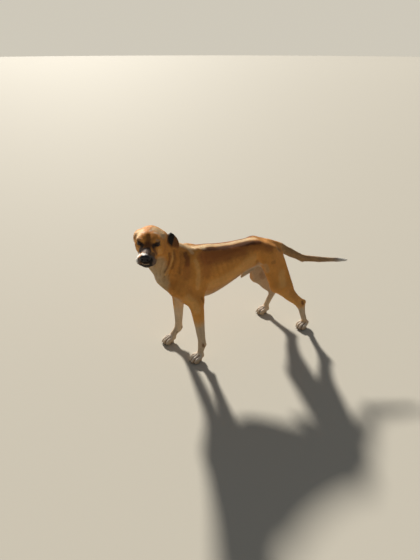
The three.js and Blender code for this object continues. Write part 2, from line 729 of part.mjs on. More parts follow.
// Adds a small part and returns the flesh with a socket for it.
function seat(name, make, flesh, colour) {
  const part = make(0);
  addPart(name, part, colour);
  return largest(flesh.subtract(make(SOCKET)).subtract(part));
}

function addPaw(kind, name, joint) {
  const side = sideOf(name);
  const frame = pawFrame(joint, side);
  const foot = point(joint.paw[0] * side, joint.paw[1], 0);
  const low = foot.clone().add(point(-48, -60, -8));
  const high = foot.clone().add(point(48, 66, 66));
  const flesh = bodyIn(low, high, 3).intersect(region(REGIONS.paw)).intersect(region(REGIONS.sole));
  let paw = tidy(flesh, DETAIL.paw);
  TOES.forEach((toe, i) => {
    const place = [toe.x, toe.y - 34, 13];
    paw = seat(`claw_${kind}_${name}_${i + 1}`, (room) => claw(place, frame, room), paw, "horn");
  });
  addPart(`${kind}paw_${name}`, paw, "cream");
}

function addLeg(kind, name, joint) {
  const side = sideOf(name);
  const box = new THREE.Box3();
  box.expandByPoint(mirrored(2, joint.paw[1] - (kind === "fore" ? 90 : 300), 30, side));
  box.expandByPoint(mirrored(165, joint.paw[1] + 150, 520, side));
  const flesh = bodyIn(box.min, box.max, 4.5).intersect(region(REGIONS[`${kind}leg_${name}`]));
  let leg = tidy(flesh.subtract(grown(REGIONS.tail)).subtract(grown(REGIONS.paw)), DETAIL[`${kind}leg`]);
  if (kind === "fore") {
    const place = mix(mirrored(...joint.wrist, side), knuckleOf(joint, side), DEWCLAW.share);
    const frame = pawFrame(joint, side).setPosition(place.x - DEWCLAW.inwards * side, place.y, place.z);
    leg = seat(`dewclaw_${name}`, (room) => claw([0, -6, 0], frame, room), leg, "horn");
  }
  addPart(`${kind}leg_${name}`, leg, "fawn");
}

function addHead() {
  const box = new THREE.Box3();
  for (const x of [-80, 80])
    for (const y of [-125, 100])
      for (const z of [-100, 75]) box.expandByPoint(inHead(x, y, z));
  const flesh = bodyIn(box.min, box.max, 3.2).intersect(region(REGIONS.head));
  let head = tidy(flesh.subtract(grown(REGIONS.jaw)), DETAIL.head);
  for (const name of SIDES) {
    head = seat(`ear_${name}`, (room) => ear(name, room), head, "fawn");
    head = seat(`eye_${name}`, (room) => eye(sideOf(name), room), head, "eye");
  }
  addPart("head", seat("nose", nose, head, "black"), "fawn");
  addPart("lower_jaw", tidy(flesh.intersect(region(REGIONS.jaw)), DETAIL.jaw), "fawn");
}

function addTrunkNeckAndTail() {
  let trunk = bodyIn(point(-160, -190, 270), point(160, 640, 640), 6);
  for (const name of ["neck", "tail", ...SIDES.flatMap((side) => [`foreleg_${side}`, `hindleg_${side}`])]) {
    trunk = trunk.subtract(grown(REGIONS[name]));
  }
  addPart("trunk", tidy(trunk, DETAIL.trunk), "fawn");
  const front = bodyIn(point(-140, -240, 380), point(160, 140, 790), 6).intersect(region(REGIONS.neck));
  let neck = tidy(front.subtract(grown(REGIONS.head)), DETAIL.neck);
  for (const name of SIDES) neck = largest(neck.subtract(ear(name, SOCKET)).subtract(ear(name)));
  addPart("neck", neck, "fawn");
  const tail = bodyIn(point(-50, 480, 340), point(200, 960, 560), 5).intersect(region(REGIONS.tail));
  addPart("tail", tidy(tail, DETAIL.tail), "fawn");
}

addHead();
addTrunkNeckAndTail();
for (const name of SIDES) {
  addLeg("fore", name, FORELEGS[name]);
  addLeg("hind", name, HINDLEGS[name]);
  addPaw("fore", name, FORELEGS[name]);
  addPaw("hind", name, HINDLEGS[name]);
}

const bounds = new THREE.Box3().setFromObject(parts);
const middle = bounds.getCenter(point(0, 0, 0));
parts.position.set(-middle.x, -middle.y, -bounds.min.z);

export default parts;
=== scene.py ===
import json
import math

import bpy
import numpy as np
from mathutils import Matrix, Vector, noise
from mathutils.bvhtree import BVHTree

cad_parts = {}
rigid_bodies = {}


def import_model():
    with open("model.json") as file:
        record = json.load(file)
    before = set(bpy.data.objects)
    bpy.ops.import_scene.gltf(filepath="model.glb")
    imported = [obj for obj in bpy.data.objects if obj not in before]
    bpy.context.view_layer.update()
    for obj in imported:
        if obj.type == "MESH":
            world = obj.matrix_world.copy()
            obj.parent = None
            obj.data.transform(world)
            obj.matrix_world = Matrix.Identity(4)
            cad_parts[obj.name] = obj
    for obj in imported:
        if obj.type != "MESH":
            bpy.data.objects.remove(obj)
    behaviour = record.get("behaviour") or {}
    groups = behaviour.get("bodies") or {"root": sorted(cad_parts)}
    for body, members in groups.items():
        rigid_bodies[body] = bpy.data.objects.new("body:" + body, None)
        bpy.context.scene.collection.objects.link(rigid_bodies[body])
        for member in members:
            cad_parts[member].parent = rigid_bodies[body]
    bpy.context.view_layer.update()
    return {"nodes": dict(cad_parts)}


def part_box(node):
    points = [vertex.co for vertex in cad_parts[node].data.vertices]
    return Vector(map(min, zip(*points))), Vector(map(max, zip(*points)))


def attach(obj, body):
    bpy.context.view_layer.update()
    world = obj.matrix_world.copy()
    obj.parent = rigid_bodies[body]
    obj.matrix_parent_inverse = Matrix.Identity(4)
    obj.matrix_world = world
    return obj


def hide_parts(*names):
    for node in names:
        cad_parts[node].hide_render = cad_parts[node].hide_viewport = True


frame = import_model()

bpy.ops.object.select_all(action="DESELECT")
bpy.context.tool_settings.mesh_select_mode = (False, False, True)
mm = 0.001
sides = {"left": 1, "right": -1}
chance = np.random.default_rng(7)


# Places and the head's own frame

def centreOf(node):
    low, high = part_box(node)
    return (Vector(low) + Vector(high)) / 2


noseDrop = math.atan2(20, 94)  # the nose lies this far below the line of sight


def findHeadFrame():
    # x to the dog's left, y to the back of the skull, z to the crown, with the origin between the eyes
    left = centreOf("eye_left")
    right = centreOf("eye_right")
    middle = (left + right) / 2
    across = (left - right).normalized()
    ahead = (Matrix.Rotation(-noseDrop, 3, across) @ (centreOf("nose") - middle)).normalized()
    back = -ahead
    up = across.cross(back).normalized()
    turned = Matrix((across, back, up)).transposed().to_4x4()
    return Matrix.Translation(middle - up * 3 * mm) @ turned


headFrame = findHeadFrame()


def inHead(x, y, z):
    # millimetres in the head's frame to metres in the row frame
    return headFrame @ Vector((x * mm, y * mm, z * mm))


def inRow(x, y, z):
    return Vector((x * mm, y * mm, z * mm))


def headWay(x, y, z):
    return (headFrame.to_3x3() @ Vector((x, y, z))).normalized()


def toHead(points):
    # metres in the row frame to millimetres in the head's frame
    back = np.array(headFrame.inverted())
    return (points @ back[:3, :3].T + back[:3, 3]) / mm


def fromHead(points):
    turned = np.array(headFrame)
    return (points * mm) @ turned[:3, :3].T + turned[:3, 3]


# Reading and writing meshes

def readPoints(mesh):
    values = np.empty(len(mesh.vertices) * 3)
    mesh.vertices.foreach_get("co", values)
    return values.reshape(-1, 3)


def writePoints(mesh, points):
    mesh.vertices.foreach_set("co", points.ravel())
    mesh.update()


def readNormals(mesh):
    values = np.empty(len(mesh.vertices) * 3)
    mesh.vertex_normals.foreach_get("vector", values)
    return values.reshape(-1, 3)


def storeNumbers(mesh, name, values):
    found = mesh.attributes.new(name, "FLOAT", "POINT")
    found.data.foreach_set("value", values.astype(np.float32))


def storeColours(mesh, name, colours):
    found = mesh.color_attributes.new(name, "FLOAT_COLOR", "POINT")
    full = np.ones((len(colours), 4), np.float32)
    full[:, :3] = colours
    found.data.foreach_set("color", full.ravel())


def applyModifiers(piece):
    bpy.ops.object.select_all(action="DESELECT")
    piece.select_set(True)
    bpy.context.view_layer.objects.active = piece
    for modifier in list(piece.modifiers):
        bpy.ops.object.modifier_apply(modifier=modifier.name)


def editAll(operation, **settings):
    # one operation on the whole mesh of the active object
    bpy.ops.object.mode_set(mode="EDIT")
    bpy.ops.mesh.select_all(action="SELECT")
    operation(**settings)
    bpy.ops.object.mode_set(mode="OBJECT")


def finishPiece(piece, slot, *nodes):
    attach(piece, "root")
    if nodes:
        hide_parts(*nodes)


def unit(vectors):
    return vectors / np.maximum(np.linalg.norm(vectors, axis=-1, keepdims=True), 1e-12)


# Soft weights

def ramp(values, low, high):
    share = np.clip((values - low) / (high - low), 0, 1)
    return share * share * (3 - 2 * share)


def gapToPath(points, path):
    nearest = np.full(len(points), np.inf)
    for start, end in zip(path[:-1], path[1:]):
        way = end - start
        share = np.clip(((points - start) @ way) / (way @ way + 1e-12), 0, 1)
        gap = np.linalg.norm(points - start - share[:, None] * way, axis=1)
        nearest = np.minimum(nearest, gap)
    return nearest


# The skin

legParts = ["foreleg", "forepaw", "hindleg", "hindpaw"]
legNodes = [f"{part}_{side}" for part in legParts for side in sides]
fleshNodes = ["head", "lower_jaw", "neck", "trunk", "tail", "ear_left", "ear_right", *legNodes]
socketNodes = ["eye_left", "eye_right", "nose"]
skinFacts = {
    "swell": 0.7 * mm,  # closes the thin cuts between the solids
    "voxel": 2.4 * mm,
    "rounds": 170,
    "pull": 0.6,
    "triangles": 172000,
    # the box round the face, in the head's frame, and its share of the thinning
    "faceLow": (-125, -125, -85),
    "faceHigh": (125, 100, 1000),
    "faceShare": 0.12,
    "floorGap": 0.2 * mm,
}
# for each kind of solid, how strongly its facets are smoothed, and how deep the skin lies under the
# coat in mm
kindFacts = {
    "head": (0.16, 1.2),
    "jaw": (0.2, 1),
    "neck": (1, 2.6),
    "trunk": (1, 2.6),
    "tail": (0.12, 1.4),
    "ear": (0.08, 0.6),
    "foreleg": (0.4, 1.6),
    "hindleg": (0.55, 2),
    "paw": (0.06, 0.8),
}
kinds = list(kindFacts)
smoothing, coatDepth = np.array(list(kindFacts.values())).T


def kindOf(node):
    for kind in ("jaw", "paw", "ear", "foreleg", "hindleg"):
        if kind in node:
            return kind
    return node


kindOfNode = np.array([kinds.index(kindOf(name)) for name in fleshNodes])


def copyFlesh():
    # the eyeballs and the nose fill their sockets, and the skin passes under them
    for name in fleshNodes + socketNodes:
        frame["nodes"][name].select_set(True)
    bpy.context.view_layer.objects.active = frame["nodes"]["trunk"]
    bpy.ops.object.duplicate()
    bpy.ops.object.parent_clear(type="CLEAR_KEEP_TRANSFORM")
    bpy.ops.object.join()
    skin = bpy.context.object
    skin.name = "skin"
    for key in list(skin.keys()):
        del skin[key]
    skin.data.materials.clear()
    editAll(bpy.ops.mesh.remove_doubles, threshold=1e-5)
    swell = skin.modifiers.new("swell", "DISPLACE")
    swell.strength = skinFacts["swell"]
    swell.mid_level = 0
    applyModifiers(skin)
    skin.data.remesh_voxel_size = skinFacts["voxel"]
    bpy.ops.object.voxel_remesh()
    return skin


def treeOfSolids(names):
    # the solids in one search tree, with the number of the solid for each triangle
    points = []
    triangles = []
    owner = []
    for number, name in enumerate(names):
        mesh = frame["nodes"][name].data
        first = len(points)
        points.extend(v.co.copy() for v in mesh.vertices)
        for polygon in mesh.polygons:
            triangles.append([first + i for i in polygon.vertices])
            owner.append(number)
    return BVHTree.FromPolygons(points, triangles), np.array(owner)


def nearSolids(points, tree, owner):
    # which solid each point belongs to, and how far outside the solids it lies
    which = np.empty(len(points), np.int64)
    outside = np.empty(len(points))
    for i, point in enumerate(points):
        place, normal, face, gap = tree.find_nearest(Vector(point))
        which[i] = owner[face]
        outside[i] = gap if (Vector(point) - place).dot(normal) > 0 else -gap
    return which, outside


class Net:
    # the edges of a mesh, for averages over neighbours
    def __init__(self, mesh):
        edges = np.empty(len(mesh.edges) * 2, np.int64)
        mesh.edges.foreach_get("vertices", edges)
        self.ends, self.starts = edges.reshape(-1, 2).T
        self.size = len(mesh.vertices)
        self.count = np.maximum(np.bincount(edges, minlength=self.size), 1)

    def mean(self, values):
        columns = []
        for column in values.reshape(self.size, -1).T:
            total = np.bincount(self.ends, column[self.starts], self.size)
            total += np.bincount(self.starts, column[self.ends], self.size)
            columns.append(total / self.count)
        return np.stack(columns, 1).reshape(values.shape)

    def soften(self, values, rounds):
        for _ in range(rounds):
            values = (values + self.mean(values)) / 2
        return values


def smoothSkin(skin):
    net = Net(skin.data)
    tree, owner = treeOfSolids(fleshNodes + socketNodes)
    kindHere = np.append(kindOfNode, [kinds.index("head")] * len(socketNodes))
    points = readPoints(skin.data)
    which, _ = nearSolids(points, tree, owner)
    strength = net.soften(smoothing[kindHere[which]], 30)[:, None] * skinFacts["pull"]
    for _ in range(skinFacts["rounds"]):
        points += strength * (net.mean(points) - points)
    writePoints(skin.data, points)
    which, outside = nearSolids(points, tree, owner)
    depth = net.soften(coatDepth[kindHere[which]] * mm, 12)
    give = net.soften(outside, 30) + depth
    points -= readNormals(skin.data) * give[:, None]
    points[:, 2] = np.maximum(points[:, 2], skinFacts["floorGap"])
    writePoints(skin.data, points)


# Sculpted forms

def form(width, height, *path, both=False):
    # a ridge along a path, or a groove where the height is negative, in millimetres
    return {"width": width, "height": height, "path": path, "both": both}


mouthPath = [(0, -97, -50), (20, -91, -51), (34, -71, -53), (40, -46, -55), (42, -22, -52), (44, -8, -47)]
headForms = [
    form(2, -3, *mouthPath, both=True),
    form(4.5, 1.2, (4, -100, -45), (22, -92, -45), (36, -70, -47), (42, -40, -48), both=True),
    form(1.7, -1.6, (0, -104, -32), (0, -100, -46)),
    form(9, -1, (18, -78, -18), (26, -40, -10), both=True),
    form(7, -1.8, (20, -12, 2), (20, -22, -8), both=True),
    form(5, 1.4, (22, -6, 20), (36, -3, 23), (48, 6, 18), both=True),
    form(5, -1.2, (24, -6, -18), (40, -2, -21), (52, 8, -14), both=True),
    form(9, -1, (0, -22, 8), (0, -6, 22), (0, 12, 38)),
    form(4, -1.3, (44, -6, -30), (50, 14, -46), (48, 30, -60), both=True),
    form(4.5, -1.2, (42, -30, -46), (46, -6, -60), (42, 20, -72), both=True),
]
bodyForms = [
    form(11, 3.4, (40, -290, 580), (58, -285, 545), (70, -278, 505), (76, -285, 440), both=True),
    form(15, -4.5, (48, -322, 588), (60, -330, 540), (66, -345, 490), both=True),
    form(12, -3, (47, -240, 575), (66, -245, 530), (80, -252, 460), (84, -270, 390), both=True),
    form(16, 3, (84, -355, 452), (92, -345, 400), (96, -325, 370), both=True),
    form(6, -2.4, (98, -272, 372), (100, -262, 330), both=True),
    form(15, -4.5, (50, 50, 520), (52, 62, 475), (58, 70, 430), both=True),
    form(14, 2.8, (64, 92, 470), (68, 104, 430), (74, 110, 385), both=True),
    form(13, -2.6, (78, 137, 460), (74, 160, 466), both=True),
    form(16, 3, (40, 88, 560), (52, 100, 545), both=True),
    form(10, -2.2, (80, 205, 420), (92, 232, 350), (99, 262, 290), both=True),
    form(18, 2.4, (98, 180, 345), (102, 215, 290), both=True),
    form(7, -1.6, (104, 322, 200), (108, 330, 176), both=True),
]
ribFacts = {
    "first": -222,
    "step": 27,
    "count": 7,
    "top": 540,
    "bottom": 420,
    "lean": 30,
    "out": 80,
    "width": 6,
    "height": 1.3,
}
for rib in range(ribFacts["count"]):
    ribY = ribFacts["first"] + rib * ribFacts["step"]
    ribTop = (ribFacts["out"], ribY, ribFacts["top"])
    ribEnd = (ribFacts["out"], ribY + ribFacts["lean"], ribFacts["bottom"])
    bodyForms.append(form(ribFacts["width"], ribFacts["height"], ribTop, ribEnd, both=True))
neckFolds = [
    form(5, -3.4, (48, -410, 640), (49, -405, 600), (47, -412, 560), (42, -430, 525)),
    form(4.5, 3, (50, -392, 620), (50, -395, 590), (50, -408, 555), (46, -432, 510)),
    form(5, -3.2, (48, -378, 625), (50, -382, 585), (54, -396, 540), (52, -420, 490)),
    form(5, 2.4, (50, -364, 610), (54, -370, 570), (60, -385, 525)),
    form(6, -2.8, (46, -349, 606), (54, -354, 565), (62, -366, 520)),
    form(7, -1.8, (36, -440, 575), (40, -446, 540), (38, -455, 500)),
    form(7, -2.6, (-48, -400, 620), (-54, -396, 570), (-56, -410, 520)),
    form(7, -2.2, (-52, -372, 600), (-60, -376, 550)),
]


# Toes. Each place is how far ahead of the claw's rear it lies and how high, in mm.
toeFacts = {
    "groove": [(-3, 8), (-9, 22), (-20, 33), (-34, 41)],
    "ridge": [(-8, 20), (-18, 34)],
    "dewclawUp": 5,
}


def toePath(start, ahead, stops):
    path = []
    for along, height in stops:
        place = start + ahead * along * mm
        path.append(tuple(Vector((place.x, place.y, height * mm)) / mm))
    return path


def pawLines():
    # grooves between the toes and a ridge along each toe, found from the paws' claws
    grooves = []
    ridges = []
    for end in ("fore", "hind"):
        for side in sides:
            claws = [centreOf(f"claw_{end}_{side}_{number}") for number in (1, 2, 3, 4)]
            ahead = sum(claws, Vector()) / 4 - centreOf(f"{end}paw_{side}")
            ahead = Vector((ahead.x, ahead.y, 0)).normalized()
            for first, second in zip(claws[:-1], claws[1:]):
                grooves.append(toePath((first + second) / 2, ahead, toeFacts["groove"]))
            ridges += [toePath(claw, ahead, toeFacts["ridge"]) for claw in claws]
    return grooves, ridges


toeGrooves, toeRidges = pawLines()
pawForms = [form(3, -4, *path) for path in toeGrooves] + [form(6, 1, *path) for path in toeRidges]
for side in sides:
    dewclaw = centreOf("dewclaw_" + side) + Vector((0, 0, toeFacts["dewclawUp"] * mm))
    pawForms.append(form(6, 3, tuple(dewclaw / mm)))


def snapPath(points, corners, step, reach):
    # the path's places drawn onto the nearest points of the skin
    if len(corners) == 1:
        corners = corners * 2
    path = []
    for start, end in zip(corners[:-1], corners[1:]):
        steps = max(2, int(np.linalg.norm(end - start) / step))
        path += [start + (end - start) * i / steps for i in range(steps)]
    path.append(corners[-1])
    snapped = []
    for place in path:
        gaps = ((points - place) ** 2).sum(1)
        nearest = np.argmin(gaps)
        snapped.append(points[nearest] if gaps[nearest] < reach**2 else place)
    return snapped


def sculpt(skin, forms, toRow):
    points = readPoints(skin.data)
    normals = readNormals(skin.data)
    moved = points.copy()
    for shape in forms:
        for side in (1, -1) if shape["both"] else (1,):
            corners = [np.array(toRow(x * side, y, z)) for x, y, z in shape["path"]]
            path = snapPath(points, corners, 6 * mm, 30 * mm)
            middle = np.mean(path, 0)
            reach = max(np.linalg.norm(place - middle) for place in path) + shape["width"] * 3 * mm
            near = np.where(((points - middle) ** 2).sum(1) < reach**2)[0]
            weight = np.exp(-((gapToPath(points[near], path) / (shape["width"] * mm)) ** 2))
            moved[near] += normals[near] * (weight * shape["height"] * mm)[:, None]
    writePoints(skin.data, moved)


def countTriangles(mesh):
    return sum(len(polygon.vertices) - 2 for polygon in mesh.polygons)


def thinBody(skin):
    # fewer triangles on the body, so that the head keeps its fine ones
    points = toHead(readPoints(skin.data))
    face = np.all((points > skinFacts["faceLow"]) & (points < skinFacts["faceHigh"]), axis=1)
    group = skin.vertex_groups.new(name="body")
    group.add(np.where(~face)[0].tolist(), 1, "REPLACE")
    group.add(np.where(face)[0].tolist(), skinFacts["faceShare"], "REPLACE")
    thin = skin.modifiers.new("thin", "DECIMATE")
    thin.ratio = min(1, skinFacts["triangles"] / countTriangles(skin.data))
    thin.vertex_group = "body"
    thin.vertex_group_factor = 1
    applyModifiers(skin)
    skin.vertex_groups.clear()


def refine(skin, chosen):
    # halves the edges of the faces whose corners are all chosen
    mesh = skin.data
    inside = [all(chosen[i] for i in polygon.vertices) for polygon in mesh.polygons]
    mesh.vertices.foreach_set("select", np.zeros(len(mesh.vertices), bool))
    mesh.edges.foreach_set("select", np.zeros(len(mesh.edges), bool))
    mesh.polygons.foreach_set("select", inside)
    bpy.context.view_layer.objects.active = skin
    bpy.ops.object.mode_set(mode="EDIT")
    bpy.ops.mesh.subdivide(number_cuts=1)
    bpy.ops.object.mode_set(mode="OBJECT")


eyeFacts = {
    "place": (36, 0, 3),
    "radius": 12,
    "axis": (0.5, -0.86, 0.06),  # the way the lids face, for the left eye
    "gaze": (0.34, -0.94, 0.0),
    "bulge": 0.55,  # the cornea, in mm
    # the opening, in degrees round the ball from the way the lids face
    "half": 66,
    "above": 34,
    "below": -25,
    "lean": 0.13,  # lowers the outer corner
    "tilt": 0.07,  # lifts the middle line towards the outer corner
    # how far the skin lies from the eye's centre in the opening, on the lids and round them, in mm
    "inside": 10.6,
    "lid": 13.5,
    "around": 12.9,
    # the fold above the upper lid and the one below the lower lid, in mm
    "foldAbove": 0.8,
    "foldBelow": 0.5,
    "finer": [(24, 60), (20, 40)],  # mm from the centre and degrees from the opening, for each round
}


def lidGaps(points, side):
    # degrees outside the lids' opening, the distance from the eye's centre, the height above the middle
    # line in degrees, the way from the centre, and the centre
    centre = np.array(eyeFacts["place"]) * (side, 1, 1)
    axis = unit(np.array(eyeFacts["axis"]) * (side, 1, 1))
    up = np.array((eyeFacts["lean"] * side, 0, 1))
    up = unit(up - axis * (up @ axis))
    outward = np.cross(axis, up)
    outward *= np.sign(outward[0] * side)
    way = points - centre
    radius = np.linalg.norm(way, axis=1)
    way = unit(way)
    across = np.degrees(np.arctan2(way @ outward, way @ axis))
    height = np.degrees(np.arcsin(np.clip(way @ up, -1, 1))) - eyeFacts["tilt"] * across
    half = eyeFacts["half"]
    bow = np.maximum(1 - (across / half) ** 2, 0) ** 0.7
    gap = np.maximum(height - eyeFacts["above"] * bow, eyeFacts["below"] * bow - height)
    past = np.maximum(np.abs(across) - half, 0)
    gap = np.where(past > 0, np.hypot(past, height), gap)
    return gap, radius, height, way, centre


def mouthGap(points):
    # how far each point lies from the line of the mouth
    mouth = [np.array(place, float) for place in mouthPath]
    return np.minimum(gapToPath(points, mouth), gapToPath(points * (-1, 1, 1), mouth))


def nearLids(points, distance, degrees):
    # the points within a distance of an eye's centre and so many degrees of its opening
    near = np.zeros(len(points), bool)
    for side in (1, -1):
        gap, radius, *_ = lidGaps(points, side)
        near |= (radius < distance) & (gap < degrees)
    return near


def refineFace(skin):
    for distance, degrees in eyeFacts["finer"]:
        refine(skin, nearLids(toHead(readPoints(skin.data)), distance, degrees))
    refine(skin, mouthGap(toHead(readPoints(skin.data))) < 7)


def shapeLids(skin):
    points = toHead(readPoints(skin.data))
    inside = eyeFacts["inside"]
    lid = eyeFacts["lid"]
    for side in (1, -1):
        gap, radius, height, way, centre = lidGaps(points, side)
        front = (radius < 22) & (gap < 70)
        wanted = inside + (lid - inside) * ramp(gap, -1, 6)
        wanted -= eyeFacts["foldAbove"] * np.exp(-(((gap - 15) / 4) ** 2)) * (height > 0)
        wanted -= eyeFacts["foldBelow"] * np.exp(-(((gap - 13) / 4) ** 2)) * (height < 0)
        away = ramp(gap, 14, 45)
        wanted = wanted * (1 - away) + np.maximum(radius, eyeFacts["around"]) * away
        fade = 1 - ramp(gap, 50, 70)
        radius = np.where(front, radius + (wanted - radius) * fade, radius)
        points = centre + way * radius[:, None]
    writePoints(skin.data, fromHead(points))


noseFacts = {
    "place": (0, -94, -17),
    "half": (22.6, 14.6, 16.4),
    "flat": 2.6,  # how far the middle of the front is pressed back
    "narrow": 0.16,  # the share of the width that is lost at the bottom
    "nostril": (10.5, -1.5),  # across and up from the middle of the front
    "nostrilHalf": (3.6, 3.2),
    "nostrilDepth": 7.5,
    "slit": [(12, -1), (20, -4.5)],  # from the nostril outwards, measured from the height of the nostril
    "slitDepth": 3,
    "wing": 1,
    "groove": 1.6,
    "skinBack": 10,  # how far the skin is drawn back behind the leather
}


def clearNose(skin):
    # draws the skin back under the nose leather, so that the nostrils have room
    points = toHead(readPoints(skin.data))
    away = (points - np.array(noseFacts["place"])) / np.array(noseFacts["half"])
    inside = (1 - ramp((away**2).sum(1), 1.0, 1.25)) * ramp(-away[:, 1], 0.05, 0.6)
    points[:, 1] += noseFacts["skinBack"] * inside
    writePoints(skin.data, fromHead(points))


def buildSkin():
    skin = copyFlesh()
    print("skin remeshed,", len(skin.data.vertices), "points")
    smoothSkin(skin)
    sculpt(skin, bodyForms + neckFolds + pawForms, inRow)
    thinBody(skin)
    print("skin smoothed and thinned,", len(skin.data.polygons), "faces")
    refineFace(skin)
    shapeLids(skin)
    sculpt(skin, headForms, inHead)
    clearNose(skin)
    for polygon in skin.data.polygons:
        polygon.use_smooth = True
    return skin


skin = buildSkin()
print("skin done,", countTriangles(skin.data), "triangles")


# Which solid each point of the skin belongs to, and the soft share of each kind there

def softKinds(skin):
    points = readPoints(skin.data)
    tree, owner = treeOfSolids(fleshNodes)
    which, _ = nearSolids(points, tree, owner)
    share = Net(skin.data).soften(np.eye(len(kinds))[kindOfNode[which]], 24)
    return which, share


skinWhich, skinShare = softKinds(skin)


def shareOf(*names):
    return sum(skinShare[:, kinds.index(name)] for name in names)


# The lie of the coat

tailPath = [
    (-12, 162, 528), (-8, 222, 502), (6, 292, 458), (32, 362, 418),
    (72, 442, 411), (116, 532, 408), (138, 577, 406),
]


def outwardWay(side, x, y, z):
    # the same way for every point, with x turned outwards on each side
    return unit(np.stack([side * x, np.full(len(side), y), np.full(len(side), z)], 1))


def alongTail(points):
    tail = np.array(tailPath) * mm
    way = np.zeros_like(points)
    nearest = np.full(len(points), np.inf)
    for start, end in zip(tail[:-1], tail[1:]):
        gap = gapToPath(points, [start, end])
        closer = gap < nearest
        nearest[closer] = gap[closer]
        way[closer] = end - start
    return unit(way)


def layCoat(points, normals):
    # the way the hair points at each place, along the skin
    head = toHead(points)
    headTurn = np.array(headFrame.to_3x3())
    headSide = np.sign(head[:, 0])
    side = np.sign(points[:, 0])
    faceDrop = -0.15 - ramp(-head[:, 2], 10, 60) * 0.35
    faceWay = unit(np.stack([headSide * 0.25, np.ones(len(head)), faceDrop], 1)) @ headTurn.T
    way = shareOf("head", "jaw")[:, None] * faceWay
    way += shareOf("ear")[:, None] * (outwardWay(headSide, 0.35, 0.25, -1) @ headTurn.T)
    way += shareOf("neck")[:, None] * unit(np.array([-0.35, 0.75, -0.65]))
    way += shareOf("trunk")[:, None] * outwardWay(side, 0.05, 1, -0.3)
    way += shareOf("foreleg", "hindleg", "paw")[:, None] * outwardWay(side, 0, 0.25, -1)
    way += shareOf("tail")[:, None] * alongTail(points)
    way -= (way * normals).sum(1)[:, None] * normals
    return unit(way)


# Markings. Colours are linear red, green and blue. Places are millimetres, in the row frame on the body
# and in the head's own frame on the face.

coatColours = {
    "gold": (0.62, 0.262, 0.049),
    "bright": (0.76, 0.41, 0.125),
    "amber": (0.50, 0.19, 0.038),
    # saddleAndShade: the saddle's dark hair, darkened further as painted shade
    "saddleAndShade": (0.15, 0.042, 0.009),
    "backShade": (0.06, 0.016, 0.004),
    "russet": (0.36, 0.115, 0.023),
    "cream": (0.62, 0.48, 0.32),
    "paleLeg": (0.56, 0.43, 0.29),
    "white": (0.86, 0.83, 0.78),
    "sand": (0.82, 0.60, 0.34),
    "throat": (0.58, 0.40, 0.21),
    "greige": (0.40, 0.28, 0.18),
    "mask": (0.055, 0.030, 0.020),
    "smoke": (0.15, 0.115, 0.10),
    "umber": (0.17, 0.058, 0.014),
    "black": (0.006, 0.004, 0.003),
    "lip": (0.010, 0.007, 0.006),
    "pad": (0.035, 0.028, 0.026),
}
saddlePath = [
    (26, -226, 588), (24, -182, 576), (22, -124, 571), (20, -36, 569), (22, 21, 570), (34, 80, 566),
]


def mark(colour, size, share, *path, both=False):
    # a stroke of colour along a path: full within half its size, and gone at 1.4 times its size
    return {"colour": colour, "size": size, "share": share, "path": path, "both": both}


